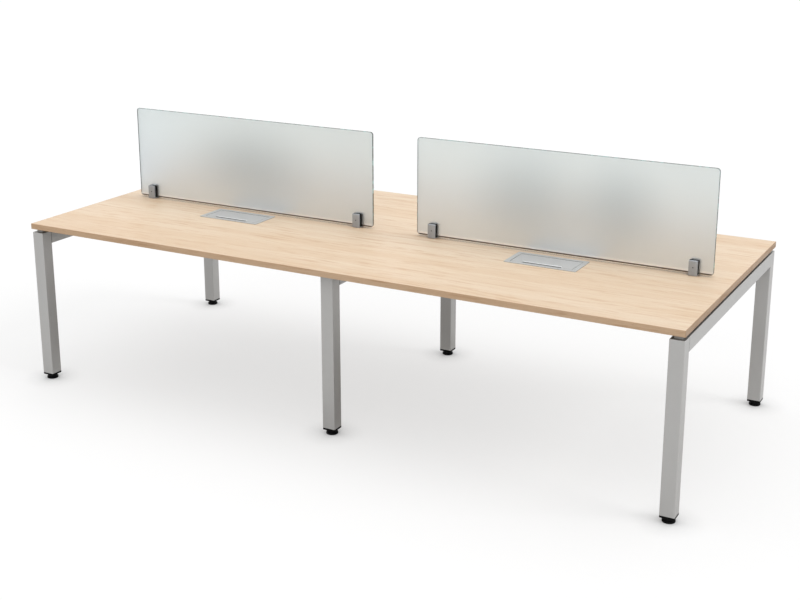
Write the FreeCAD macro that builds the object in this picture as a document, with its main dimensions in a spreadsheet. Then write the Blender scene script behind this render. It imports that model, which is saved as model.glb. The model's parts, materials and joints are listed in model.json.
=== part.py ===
"""Four-person bench desk, modelled as a parametric document in millimetres.

X runs along the desk, the front edge is at -Y and +Z is up. The origin is on the floor,
under the middle of the worktop. Every size comes from the sheet named dims.
"""
import FreeCAD, Part
import os
import re

import Sketcher

# Driving dimensions: name, millimetres, what it sizes
DIMENSIONS = [
    ("top_long", 3000, "worktop length, both bays together"),
    ("top_deep", 1300, "worktop depth, both facing places together"),
    ("top_high", 740, "height of the working surface"),
    ("top_thick", 25, "board thickness"),
    ("band_thick", 2, "edge band thickness"),
    ("band_round", 1, "edge band rounding"),
    ("leg_side", 57, "square leg tube, outside"),
    ("tube_wall", 2, "wall of every frame tube"),
    ("tube_round", 3, "outer corner radius of the frame tubes"),
    ("leg_cover", 3, "plate that closes the top of a leg"),
    ("cover_round", 2, "rounding round the top of a leg"),
    ("end_inset", 2, "end frame behind the worktop's end"),
    ("side_inset", 4, "end legs behind the worktop's long edge"),
    ("middle_inset", 85, "middle legs behind the worktop's long edge"),
    ("frame_gap", 15, "gap between frame and worktop"),
    ("bar_high", 58, "crossbar height"),
    ("metal_low", 29, "lower end of the leg tube above the floor"),
    ("rail_wide", 25, "long rail, across"),
    ("rail_high", 40, "long rail, height"),
    ("rail_offset", 300, "long rail from the desk's middle line"),
    ("plate_thick", 4, "rail bracket plate"),
    ("plate_wide", 74, "rail bracket plate, across"),
    ("tongue_long", 40, "rail bracket tongue inside the rail"),
    ("tongue_slack", 0.5, "play of the tongue in the rail, each side"),
    ("bolt_reach", 25, "bracket bolt from the rail's middle"),
    ("bolt_dia", 8, "bracket bolt"),
    ("bolt_head", 13, "bracket bolt head"),
    ("bolt_head_high", 6, "bracket bolt head height"),
    ("bolt_socket", 6, "bracket bolt drive hole"),
    ("nut_dia", 15, "nut inside the crossbar"),
    ("nut_high", 7, "nut height"),
    ("stay_dia", 6, "screw that locks a rail on its tongue"),
    ("stay_head", 11, "head of that screw"),
    ("stay_head_high", 4, "head height of that screw"),
    ("stay_bite", 14, "thread of that screw above the rail's lower face"),
    ("spacer_wide", 30, "worktop spacer on an end frame"),
    ("spacer_middle", 50, "worktop spacer on the middle frame"),
    ("spacer_long", 90, "spacer at a leg, along the crossbar"),
    ("spacer_setback", 16, "spacer behind the leg's outer face"),
    ("spacer_short", 60, "spacer near the middle line, along the crossbar"),
    ("spacer_inner", 60, "near end of that spacer from the middle line"),
    ("screw_end", 15, "worktop screw from the spacer's inner end"),
    ("screw_pair", 30, "spacing of the two screws at the middle frame"),
    ("screw_dia", 5, "worktop screw"),
    ("screw_head", 10, "worktop screw head"),
    ("screw_head_high", 3, "worktop screw head height"),
    ("screw_socket", 4, "worktop screw drive hole"),
    ("screw_bite", 15, "depth of every screw in the board"),
    ("access_dia", 12, "driver hole under a worktop screw"),
    ("splice_long", 140, "joint plate across the two boards"),
    ("splice_wide", 40, "joint plate width"),
    ("splice_thick", 3, "joint plate thickness"),
    ("splice_offset", 300, "outer joint plates from the middle line"),
    ("splice_near", 25, "nearer joint plate screws from the joint"),
    ("splice_far", 55, "farther joint plate screws from the joint"),
    ("splice_screw", 4, "joint plate screw"),
    ("splice_head", 8, "joint plate screw head"),
    ("splice_head_high", 2.5, "joint plate screw head height"),
    ("screen_wide", 1300, "glass screen, along the desk"),
    ("screen_high", 426, "glass screen, height"),
    ("screen_thick", 8, "glass thickness"),
    ("screen_round", 14, "glass corner radius"),
    ("screen_edge", 0.8, "polished bevel round the glass"),
    ("screen_inner", 110, "inner end of a screen from the desk's centre"),
    ("screen_back", 10, "middle of the glass behind the middle line"),
    ("clip_wide", 35, "screen clip, along the desk"),
    ("clip_high", 62, "screen clip height"),
    ("clip_jaw", 7, "clip jaw thickness"),
    ("clip_base", 4, "clip base thickness"),
    ("clip_bevel", 3, "bevel on the top of each jaw"),
    ("clip_offset", 78, "clip from the end of the glass"),
    ("liner_thick", 11, "rubber liner between jaw and glass"),
    ("liner_base", 2, "rubber liner under the glass"),
    ("liner_short", 1, "liner below the top of the jaws"),
    ("grub_dia", 5, "clamping screw in the front jaw"),
    ("grub_high", 33, "clamping screw above the worktop"),
    ("grub_socket", 2.5, "clamping screw drive hole"),
    ("clip_bolt", 6, "bolt that holds a clip to the worktop"),
    ("clip_bolt_hole", 6.6, "hole for that bolt in the board"),
    ("clip_bolt_head", 11, "head of that bolt"),
    ("clip_bolt_head_high", 4, "head height of that bolt"),
    ("washer_dia", 18, "washer under the board"),
    ("washer_thick", 1.6, "washer thickness"),
    ("port_x", 760, "cable port from the desk's centre"),
    ("port_gap", 13, "cable port in front of the clips"),
    ("port_wide", 310, "port flange, along the desk"),
    ("port_deep", 160, "port flange, across"),
    ("flange_high", 2, "port flange thickness"),
    ("flange_round", 5, "port flange corner radius"),
    ("flange_edge", 0.8, "rounding on the upper edge of the flange"),
    ("collar_wide", 280, "port collar through the board"),
    ("collar_deep", 130, "port collar, across"),
    ("collar_high", 32, "port collar below the working surface"),
    ("well_wide", 252, "clear opening of the port"),
    ("well_deep", 98, "clear opening of the port, across"),
    ("lid_wide", 266, "port lid, along the desk"),
    ("lid_deep", 116, "port lid, across"),
    ("lid_thick", 3, "port lid plate"),
    ("lid_play", 1.6, "gap round the lid"),
    ("lid_rest", 0.2, "gap under the closed lid"),
    ("lid_swing", 1.3, "gap behind the hinge barrel"),
    ("barrel_dia", 7, "hinge barrel on the lid"),
    ("hinge_pin", 3, "hinge pin"),
    ("pin_play", 0.05, "running play of the pin, all round"),
    ("pin_reach", 8, "hinge pin inside the barrel"),
    ("slot_wide", 168, "cable slot in the front of the lid"),
    ("slot_deep", 10, "cable slot depth"),
    ("lip_deep", 7, "raised lip behind the slot"),
    ("lip_high", 1.5, "lip height"),
    ("foot_dia", 50, "levelling foot base"),
    ("foot_step", 40, "levelling foot upper step"),
    ("foot_base_high", 9, "levelling foot base height"),
    ("foot_high", 20.5, "levelling foot below its stem"),
    ("foot_bevel", 1.5, "bevels on the levelling foot"),
    ("stem_dia", 10, "levelling foot stem"),
    ("stem_play", 0.05, "running play of the stem, all round"),
    ("stem_top", 70, "top of the stem above the floor"),
    ("cap_lip", 8, "end cap under the tube"),
    ("cap_plug", 22, "end cap inside the tube"),
    ("tray_long", 1000, "cable tray, along the desk"),
    ("tray_wide", 320, "cable tray, across"),
    ("tray_high", 90, "cable tray height"),
    ("tray_skin", 1.5, "cable tray sheet"),
    ("tray_lip", 18, "turned-out lip of the tray"),
    ("strap_wide", 30, "strap that carries the trays"),
    ("strap_thick", 3, "strap thickness"),
    ("strap_offset", 350, "strap from the middle of a tray"),
    ("strap_bite", 8, "strap screw below the strap"),
]

# Levels and lines that several sub-parts share, as expressions
UNDERSIDE = "(top_high - top_thick)"
FRAME_TOP = f"({UNDERSIDE} - frame_gap)"
RAIL_MID = f"({FRAME_TOP} - bar_high / 2)"
RAIL_TOP = f"({RAIL_MID} + rail_high / 2)"
END_FRAME_X = "(top_long / 2 - end_inset - leg_side / 2)"
BAY_INNER = "(leg_side / 2)"
BAY_OUTER = "(top_long / 2 - end_inset - leg_side)"
SCREEN_MID_X = "(screen_inner + screen_wide / 2)"
CLIP_INNER_X = "(screen_inner + clip_offset)"
CLIP_OUTER_X = "(screen_inner + screen_wide - clip_offset)"
CLIP_HALF = "(screen_thick / 2 + liner_thick + clip_jaw)"
PORT_REACH = f"({CLIP_HALF} + port_gap + port_deep / 2)"
HINGE_DROP = "(flange_high - barrel_dia / 2)"
HINGE_LINE = "(lid_deep / 2 - barrel_dia / 2)"

LEFT, RIGHT = -1, 1
FRONT, REAR = -1, 1
SIDE_NAMES = {LEFT: "left", RIGHT: "right"}
ROW_NAMES = {FRONT: "front", REAR: "rear"}
# Each frame: name, sign of its X, how far its legs stand behind the long edge, its spacers' width
FRAMES = [
    ("left", LEFT, "side_inset", "spacer_wide"),
    ("middle", 0, "middle_inset", "spacer_middle"),
    ("right", RIGHT, "side_inset", "spacer_wide"),
]

NAME = re.compile(r"\b([a-z]+(?:_[a-z]+)+)\b")
UP = FreeCAD.Vector(0, 0, 1)
# Two lines closer than this, in millimetres, are one
NEAR = 1e-6

doc = FreeCAD.newDocument("bench_desk")
sheet = doc.addObject("Spreadsheet::Sheet", "dims")
nodes = []


def fill_sheet():
    """Write the driving dimensions into the sheet, one row each."""
    for row, (alias, value, meaning) in enumerate(DIMENSIONS, 1):
        sheet.set(f"A{row}", meaning)
        sheet.set(f"B{row}", str(value))
        sheet.setAlias(f"B{row}", alias)
    doc.recompute()


def bind(thing, path, text):
    """Drive one property by an expression written with the sheet's names."""
    thing.setExpression(path, NAME.sub(r"dims.\1", text))


def place(thing, x="0", y="0", z="0"):
    """Bind the position of a body."""
    for axis, text in zip("xyz", (x, y, z)):
        bind(thing, f"Placement.Base.{axis}", text)


def signed(sign, text):
    """Return the expression on the side that the sign gives."""
    return f"({sign} * {text})"


def node(label, x="0", y="0", z="0"):
    """Start the body of one sub-part and put it in its place."""
    body = doc.addObject("PartDesign::Body", label)
    body.Label = label
    body.AllowCompound = True
    place(body, x, y, z)
    nodes.append(body)
    return body


def sketch_on(body, role, offset="0"):
    """Start a sketch on one of the body's own origin planes, moved along its normal."""
    sketch = body.newObject("Sketcher::SketchObject", "sketch")
    plane = next(item for item in body.Origin.OriginFeatures if item.Role == role)
    sketch.AttachmentSupport = [(plane, "")]
    sketch.MapMode = "FlatFace"
    if offset != "0":
        bind(sketch, "AttachmentOffset.Base.z", offset)
    return sketch


def fix_point(sketch, shape, vertex, x, y):
    """Hold one point of a sketch at two bound coordinates."""
    for kind, text, axis in (("DistanceX", x, -2), ("DistanceY", y, -1)):
        if text == "0":
            sketch.addConstraint(Sketcher.Constraint("PointOnObject", shape, vertex, axis))
        else:
            index = sketch.addConstraint(Sketcher.Constraint(kind, -1, 1, shape, vertex, 1.0))
            bind(sketch, f"Constraints[{index}]", text)


def outline(sketch, corners):
    """Draw a closed outline of straight lines through bound corners."""
    count = len(corners)
    first = sketch.GeometryCount
    turn = FreeCAD.Rotation(UP, 360.0 / count)
    point = FreeCAD.Vector(1, 0, 0)
    for _ in corners:
        following = turn.multVec(point)
        sketch.addGeometry(Part.LineSegment(point, following))
        point = following
    for step, (x, y) in enumerate(corners):
        before = first + (step - 1) % count
        sketch.addConstraint(Sketcher.Constraint("Coincident", before, 2, first + step, 1))
        fix_point(sketch, first + step, 1, x, y)


def rectangle(sketch, mid_x, mid_y, wide, deep):
    """Draw a rectangle about a bound middle."""
    left, right = (f"{mid_x} {sign} {wide} / 2" for sign in "-+")
    low, high = (f"{mid_y} {sign} {deep} / 2" for sign in "-+")
    outline(sketch, [(left, low), (right, low), (right, high), (left, high)])


def circle(sketch, x, y, diameter):
    """Draw a circle of bound size and place."""
    index = sketch.addGeometry(Part.Circle(FreeCAD.Vector(1, 1, 0), UP, 1.0))
    size = sketch.addConstraint(Sketcher.Constraint("Diameter", index, 2.0))
    bind(sketch, f"Constraints[{size}]", diameter)
    fix_point(sketch, index, 3, x, y)


def pad(body, sketch, length, down=False):
    """Raise a sketch into a solid, along its normal or against it."""
    feature = body.newObject("PartDesign::Pad", "pad")
    feature.Profile = sketch
    feature.Reversed = down
    bind(feature, "Length", length)
    body.Tip = feature
    doc.recompute()
    return feature


def pocket(body, sketch, depth=None, along=False):
    """Cut a sketch out of the body, against its normal or along it, and check that it cut."""
    volume = body.Shape.Volume
    feature = body.newObject("PartDesign::Pocket", "pocket")
    feature.Profile = sketch
    feature.Reversed = along
    if depth is None:
        feature.Type = "ThroughAll"
    else:
        bind(feature, "Length", depth)
    body.Tip = feature
    doc.recompute()
    if not body.Shape.Volume < volume:
        raise RuntimeError(f"a pocket of {body.Label} cuts nothing")
    return feature


def dress(body, kind, keep, size):
    """Round or bevel the edges of the body's last feature that a test picks."""
    base = body.Tip
    names = [f"Edge{number}" for number, edge in enumerate(base.Shape.Edges, 1) if keep(edge)]
    feature = body.newObject(f"PartDesign::{kind}", kind.lower())
    feature.Base = (base, names)
    bind(feature, "Radius" if kind == "Fillet" else "Size", size)
    body.Tip = feature
    doc.recompute()
    return feature


def runs_along(axis, box=None):
    """Return a test for straight edges along an axis, on the outside of a box where one is given."""
    def keep(edge):
        direction = edge.Vertexes[-1].Point - edge.Vertexes[0].Point
        across = [abs(value) for value in direction]
        along = across.pop("XYZ".index(axis))
        if along < NEAR or max(across) > NEAR:
            return False
        if box is None:
            return True
        middle = edge.CenterOfMass
        limits = [(box.XMin, box.XMax), (box.YMin, box.YMax), (box.ZMin, box.ZMax)]
        sides = [min(abs(value - low), abs(value - high)) < NEAR
                 for value, (low, high) in zip(middle, limits)]
        sides.pop("XYZ".index(axis))
        return all(sides)
    return keep


def frame_x(sign):
    """Return the middle line of a frame."""
    return signed(sign, END_FRAME_X) if sign else "0"


def make_leg(name, sign, row, inset):
    """Make one leg: a square tube, open below and closed above."""
    long = f"({FRAME_TOP} - metal_low)"
    middle = signed(row, f"(top_deep / 2 - {inset} - leg_side / 2)")
    body = node(f"leg_{ROW_NAMES[row]}_{name}", frame_x(sign), middle, "metal_low")
    section = sketch_on(body, "XY_Plane")
    rectangle(section, "0", "0", "leg_side", "leg_side")
    tube = pad(body, section, long)
    dress(body, "Fillet", runs_along("Z"), "tube_round")
    top = tube.Shape.BoundBox.ZMax
    dress(body, "Fillet", lambda edge: edge.BoundBox.ZMin > top - NEAR, "cover_round")
    bore = sketch_on(body, "XY_Plane")
    inner = "(leg_side - 2 * tube_wall)"
    rectangle(bore, "0", "0", inner, inner)
    pocket(body, bore, f"{long} - leg_cover", along=True)


def spacer_screws(sign, inset):
    """Return the places of the worktop screws on one frame."""
    ends = [f"(top_deep / 2 - {inset} - spacer_setback - spacer_long + screw_end)",
            "(spacer_inner + spacer_short / 2)"]
    sides = ["0"] if sign else ["-1 * screw_pair / 2", "screw_pair / 2"]
    return [(f"{frame_x(sign)} + {side}", signed(row, end))
            for row in (FRONT, REAR) for end in ends for side in sides]


def bracket_faces(sign):
    """Return the crossbar faces that carry rail brackets: the face's X and the way it looks."""
    if sign:
        return [(signed(sign, BAY_OUTER), -sign)]
    return [(signed(side, BAY_INNER), side) for side in (LEFT, RIGHT)]


def bracket_bolts():
    """Return the bolt places on a bracket face, across the desk."""
    return [f"{signed(row, 'rail_offset')} + {signed(reach, 'bolt_reach')}"
            for row in (FRONT, REAR) for reach in (-1, 1)]


def make_crossbar(name, sign, inset):
    """Make the tube between the two legs of a frame, with its screw and bolt holes."""
    half = f"(top_deep / 2 - {inset} - leg_side)"
    body = node(f"crossbar_{name}", frame_x(sign), half, RAIL_MID)
    section = sketch_on(body, "XZ_Plane")
    rectangle(section, "0", "0", "leg_side", "bar_high")
    pad(body, section, f"2 * {half}")
    dress(body, "Fillet", runs_along("Y"), "tube_round")
    bore = sketch_on(body, "XZ_Plane")
    rectangle(bore, "0", "0", "(leg_side - 2 * tube_wall)", "(bar_high - 2 * tube_wall)")
    pocket(body, bore, along=True)
    for diameter, along in (("screw_dia", True), ("access_dia", False)):
        holes = sketch_on(body, "XY_Plane")
        for x, y in spacer_screws(sign, inset):
            circle(holes, f"{x} - {frame_x(sign)}", f"{y} - {half}", diameter)
        pocket(body, holes, along=along)
    for _, way in bracket_faces(sign):
        holes = sketch_on(body, "YZ_Plane")
        for y in bracket_bolts():
            circle(holes, f"{y} - {half}", "0", "bolt_dia")
        pocket(body, holes, along=way > 0)


def make_rail(side, row):
    """Make one long rail of a bay, between its two bracket plates."""
    start = f"({BAY_INNER} + plate_thick)"
    long = f"({BAY_OUTER} - {BAY_INNER} - 2 * plate_thick)"
    first = start if side == RIGHT else f"(-1 * {start} - {long})"
    name = f"rail_{ROW_NAMES[row]}_{SIDE_NAMES[side]}"
    body = node(name, first, signed(row, "rail_offset"), RAIL_MID)
    section = sketch_on(body, "YZ_Plane")
    rectangle(section, "0", "0", "rail_wide", "rail_high")
    pad(body, section, long)
    dress(body, "Fillet", runs_along("X"), "tube_wall")
    bore = sketch_on(body, "YZ_Plane")
    rectangle(bore, "0", "0", "(rail_wide - 2 * tube_wall)", "(rail_high - 2 * tube_wall)")
    pocket(body, bore, along=True)
    locks = sketch_on(body, "XY_Plane")
    for x in ("tongue_long / 2", f"{long} - tongue_long / 2"):
        circle(locks, x, "0", "stay_dia")
    pocket(body, locks)
    straps = sketch_on(body, "XY_Plane")
    for x in strap_places(side):
        circle(straps, f"{x} - {first}", "0", "screw_dia")
    pocket(body, straps, along=True)


def tongue_places():
    """Return the tongues of the rail brackets: face X, way it looks, Y."""
    faces = [face for _, sign, _, _ in FRAMES for face in bracket_faces(sign)]
    return [(x, way, signed(row, "rail_offset")) for x, way in faces for row in (FRONT, REAR)]


def make_brackets():
    """Make the rail brackets: a plate on the crossbar and a tongue inside the rail."""
    body = node("rail_brackets", z=RAIL_MID)
    plates = sketch_on(body, "XY_Plane", "rail_high / -2")
    tongues = sketch_on(body, "XY_Plane", "tongue_slack + tube_wall - rail_high / 2")
    locks = sketch_on(body, "XY_Plane", "rail_high / -2")
    tongue_wide = "(rail_wide - 2 * tube_wall - 2 * tongue_slack)"
    for x, way, y in tongue_places():
        rectangle(plates, f"{x} + {signed(way, 'plate_thick / 2')}", y, "plate_thick", "plate_wide")
        middle = f"{x} + {signed(way, '(plate_thick + tongue_long / 2)')}"
        rectangle(tongues, middle, y, "tongue_long", tongue_wide)
        circle(locks, middle, y, "stay_dia")
    pad(body, plates, "rail_high")
    pad(body, tongues, "rail_high - 2 * tube_wall - 2 * tongue_slack")
    pocket(body, locks, "stay_bite", along=True)
    holes = sketch_on(body, "YZ_Plane", "top_long / 2")
    for y in bracket_bolts():
        circle(holes, y, "0", "bolt_dia")
    pocket(body, holes)


def make_bracket_bolts():
    """Make the bolts that hold the brackets to the crossbars."""
    body = node("bracket_bolts", z=RAIL_MID)
    sockets = []
    for _, sign, _, _ in FRAMES:
        for x, way in bracket_faces(sign):
            seat = f"({x} + {signed(way, 'plate_thick')})"
            shanks = sketch_on(body, "YZ_Plane", seat)
            heads = sketch_on(body, "YZ_Plane", seat)
            drive = sketch_on(body, "YZ_Plane", f"{seat} + {signed(way, 'bolt_head_high')}")
            for y in bracket_bolts():
                circle(shanks, y, "0", "bolt_dia")
                circle(heads, y, "0", "bolt_head")
                circle(drive, y, "0", "bolt_socket")
            pad(body, shanks, "plate_thick + tube_wall + nut_high", down=way > 0)
            pad(body, heads, "bolt_head_high", down=way < 0)
            sockets.append((drive, way))
    for drive, way in sockets:
        pocket(body, drive, "bolt_head_high / 2", along=way < 0)


def make_bracket_nuts():
    """Make the nuts inside the crossbars."""
    body = node("bracket_nuts", z=RAIL_MID)
    for _, sign, _, _ in FRAMES:
        for x, way in bracket_faces(sign):
            rings = sketch_on(body, "YZ_Plane", f"{x} - {signed(way, 'tube_wall')}")
            for y in bracket_bolts():
                circle(rings, y, "0", "nut_dia")
                circle(rings, y, "0", "bolt_dia")
            pad(body, rings, "nut_high", down=way > 0)


def make_lock_screws():
    """Make the screws that lock the rails on their tongues, from below."""
    body = node("rail_lock_screws", z=f"{RAIL_MID} - rail_high / 2")
    shanks = sketch_on(body, "XY_Plane")
    heads = sketch_on(body, "XY_Plane")
    for x, way, y in tongue_places():
        middle = f"{x} + {signed(way, '(plate_thick + tongue_long / 2)')}"
        circle(shanks, middle, y, "stay_dia")
        circle(heads, middle, y, "stay_head")
    pad(body, shanks, "stay_bite")
    pad(body, heads, "stay_head_high", down=True)


def make_spacers():
    """Make the blocks that hold the worktop above the frames."""
    body = node("worktop_spacers", z=FRAME_TOP)
    blocks = sketch_on(body, "XY_Plane")
    holes = sketch_on(body, "XY_Plane")
    for _, sign, inset, wide in FRAMES:
        for row in (FRONT, REAR):
            corner = signed(row, f"(top_deep / 2 - {inset} - spacer_setback - spacer_long / 2)")
            rectangle(blocks, frame_x(sign), corner, wide, "spacer_long")
            inner = signed(row, "(spacer_inner + spacer_short / 2)")
            rectangle(blocks, frame_x(sign), inner, wide, "spacer_short")
        for x, y in spacer_screws(sign, inset):
            circle(holes, x, y, "screw_dia")
    pad(body, blocks, "frame_gap")
    pocket(body, holes, along=True)


def make_worktop_screws():
    """Make the screws that pass a crossbar and a spacer into the boards."""
    body = node("worktop_screws", z=f"{FRAME_TOP} - tube_wall")
    shanks = sketch_on(body, "XY_Plane")
    heads = sketch_on(body, "XY_Plane")
    drive = sketch_on(body, "XY_Plane", "-1 * screw_head_high")
    for _, sign, inset, _ in FRAMES:
        for x, y in spacer_screws(sign, inset):
            circle(shanks, x, y, "screw_dia")
            circle(heads, x, y, "screw_head")
            circle(drive, x, y, "screw_socket")
    pad(body, shanks, "tube_wall + frame_gap + screw_bite")
    pad(body, heads, "screw_head_high", down=True)
    pocket(body, drive, "screw_head_high / 2", along=True)


def splice_places():
    """Return the joint plates' places across the desk."""
    return ["0", "splice_offset", "-1 * splice_offset"]


def splice_screws(side):
    """Return the joint plate screws in one board."""
    return [(signed(side, reach), y) for reach in ("splice_near", "splice_far") for y in splice_places()]


def make_splices():
    """Make the plates that hold the two boards level, and their screws."""
    plates = node("joint_plates", z=f"{UNDERSIDE} - splice_thick")
    blanks = sketch_on(plates, "XY_Plane")
    holes = sketch_on(plates, "XY_Plane")
    screws = node("joint_plate_screws", z=f"{UNDERSIDE} - splice_thick")
    shanks = sketch_on(screws, "XY_Plane")
    heads = sketch_on(screws, "XY_Plane")
    for y in splice_places():
        rectangle(blanks, "0", y, "splice_long", "splice_wide")
    for side in (LEFT, RIGHT):
        for x, y in splice_screws(side):
            circle(holes, x, y, "splice_screw")
            circle(shanks, x, y, "splice_screw")
            circle(heads, x, y, "splice_head")
    pad(plates, blanks, "splice_thick")
    pocket(plates, holes, along=True)
    pad(screws, shanks, "splice_thick + screw_bite")
    pad(screws, heads, "splice_head_high", down=True)


def port_line(row):
    """Return the middle line of the cable ports on one long side."""
    return f"(screen_back + {signed(row, PORT_REACH)})"


def make_worktop(side):
    """Make one board with its port cut-outs and screw holes."""
    long = "(top_long / 2 - band_thick)"
    middle = signed(side, f"({long} / 2)")
    body = node(f"worktop_{SIDE_NAMES[side]}", middle, "0", UNDERSIDE)
    board = sketch_on(body, "XY_Plane")
    rectangle(board, "0", "0", long, "(top_deep - 2 * band_thick)")
    pad(body, board, "top_thick")
    cutouts = sketch_on(body, "XY_Plane")
    for row in (FRONT, REAR):
        rectangle(cutouts, f"{signed(side, 'port_x')} - {middle}", port_line(row),
                  "collar_wide", "collar_deep")
    pocket(body, cutouts, along=True)
    bolts = sketch_on(body, "XY_Plane")
    for x in (CLIP_INNER_X, CLIP_OUTER_X):
        circle(bolts, f"{signed(side, x)} - {middle}", "screen_back", "clip_bolt_hole")
    pocket(body, bolts, along=True)
    pilots = sketch_on(body, "XY_Plane")
    for _, sign, inset, _ in FRAMES:
        for number, (x, y) in enumerate(spacer_screws(sign, inset)):
            on_this_board = sign == side or (sign == 0 and number % 2 == (side + 1) // 2)
            if on_this_board:
                circle(pilots, f"{x} - {middle}", y, "screw_dia")
    pocket(body, pilots, "screw_bite", along=True)
    splices = sketch_on(body, "XY_Plane")
    for x, y in splice_screws(side):
        circle(splices, f"{x} - {middle}", y, "splice_screw")
    pocket(body, splices, "screw_bite", along=True)


def make_edge_band(side):
    """Make the band round the three open edges of a board."""
    middle = signed(side, "top_long / 4")
    body = node(f"edge_band_{SIDE_NAMES[side]}", middle, "0", UNDERSIDE)
    outer = sketch_on(body, "XY_Plane")
    rectangle(outer, "0", "0", "(top_long / 2)", "top_deep")
    block = pad(body, outer, "top_thick")
    box = block.Shape.BoundBox
    joint = box.XMin if side == RIGHT else box.XMax
    along_x = runs_along("X", box)
    along_y = runs_along("Y", box)
    dress(body, "Fillet",
          lambda edge: along_x(edge) or (along_y(edge) and abs(edge.CenterOfMass.x - joint) > NEAR),
          "band_round")
    core = sketch_on(body, "XY_Plane")
    rectangle(core, signed(-side, "band_thick"), "0",
              "(top_long / 2)", "(top_deep - 2 * band_thick)")
    pocket(body, core, along=True)


def make_screen(side):
    """Make one glass screen with round corners and a polished edge."""
    middle = "(top_high + clip_base + liner_base + screen_high / 2)"
    name = f"screen_{SIDE_NAMES[side]}"
    body = node(name, signed(side, SCREEN_MID_X), "screen_back + screen_thick / 2", middle)
    sheet_face = sketch_on(body, "XZ_Plane")
    rectangle(sheet_face, "0", "0", "screen_wide", "screen_high")
    glass = pad(body, sheet_face, "screen_thick")
    dress(body, "Fillet", runs_along("Y"), "screen_round")
    box = glass.Shape.BoundBox
    faces = (box.YMin, box.YMax)
    dress(body, "Chamfer",
          lambda edge: any(edge.BoundBox.YMin > y - NEAR and edge.BoundBox.YMax < y + NEAR for y in faces),
          "screen_edge")


def clip_places():
    """Return the four clips: name and X."""
    return [(f"{SIDE_NAMES[side]}_{name}", signed(side, x)) for side in (LEFT, RIGHT)
            for name, x in (("outer", CLIP_OUTER_X), ("inner", CLIP_INNER_X))]


def make_clip(name, x):
    """Make one screen clip: two jaws on a base, with its bolt and clamping screw holes."""
    body = node(f"clip_{name}", f"{x} - clip_wide / 2", "screen_back", "top_high")
    profile = sketch_on(body, "YZ_Plane")
    slot = "(screen_thick / 2 + liner_thick)"
    shoulder = "(clip_high - clip_bevel)"
    outline(profile, [
        (f"-1 * {CLIP_HALF}", "0"), (CLIP_HALF, "0"), (CLIP_HALF, shoulder),
        (f"{CLIP_HALF} - clip_bevel", "clip_high"), (slot, "clip_high"), (slot, "clip_base"),
        (f"-1 * {slot}", "clip_base"), (f"-1 * {slot}", "clip_high"),
        (f"clip_bevel - {CLIP_HALF}", "clip_high"), (f"-1 * {CLIP_HALF}", shoulder),
    ])
    pad(body, profile, "clip_wide")
    bolt = sketch_on(body, "XY_Plane")
    circle(bolt, "clip_wide / 2", "0", "clip_bolt")
    pocket(body, bolt, "clip_base", along=True)
    clamp = sketch_on(body, "XZ_Plane", CLIP_HALF)
    circle(clamp, "clip_wide / 2", "grub_high", "grub_dia")
    pocket(body, clamp, "clip_jaw")


def make_clip_fittings():
    """Make the liners, clamping screws, bolts and washers of the clips."""
    liners = node("clip_liners", y="screen_back", z="top_high")
    outer, inner = "(screen_thick / 2 + liner_thick)", "(screen_thick / 2)"
    top, seat = "(clip_high - liner_short)", "(clip_base + liner_base)"
    for _, x in clip_places():
        profile = sketch_on(liners, "YZ_Plane", f"{x} - clip_wide / 2")
        outline(profile, [
            (f"-1 * {outer}", "clip_base"), (outer, "clip_base"), (outer, top), (inner, top),
            (inner, seat), (f"-1 * {inner}", seat), (f"-1 * {inner}", top), (f"-1 * {outer}", top),
        ])
        pad(liners, profile, "clip_wide")
    grubs = node("clip_clamp_screws", y=f"screen_back - {CLIP_HALF}", z="top_high + grub_high")
    bolts = node("clip_bolts", y="screen_back", z=f"{UNDERSIDE} - washer_thick")
    washers = node("clip_washers", y="screen_back", z=f"{UNDERSIDE} - washer_thick")
    threads, drives = sketch_on(grubs, "XZ_Plane"), sketch_on(grubs, "XZ_Plane")
    shanks, heads = sketch_on(bolts, "XY_Plane"), sketch_on(bolts, "XY_Plane")
    rings = sketch_on(washers, "XY_Plane")
    for _, x in clip_places():
        circle(threads, x, "0", "grub_dia")
        circle(drives, x, "0", "grub_socket")
        circle(shanks, x, "0", "clip_bolt")
        circle(heads, x, "0", "clip_bolt_head")
        circle(rings, x, "0", "washer_dia")
        circle(rings, x, "0", "clip_bolt")
    pad(grubs, threads, "clip_jaw", down=True)
    pocket(grubs, drives, "clip_jaw / 2")
    pad(bolts, shanks, "washer_thick + top_thick + clip_base")
    pad(bolts, heads, "clip_bolt_head_high", down=True)
    pad(washers, rings, "washer_thick")


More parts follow.
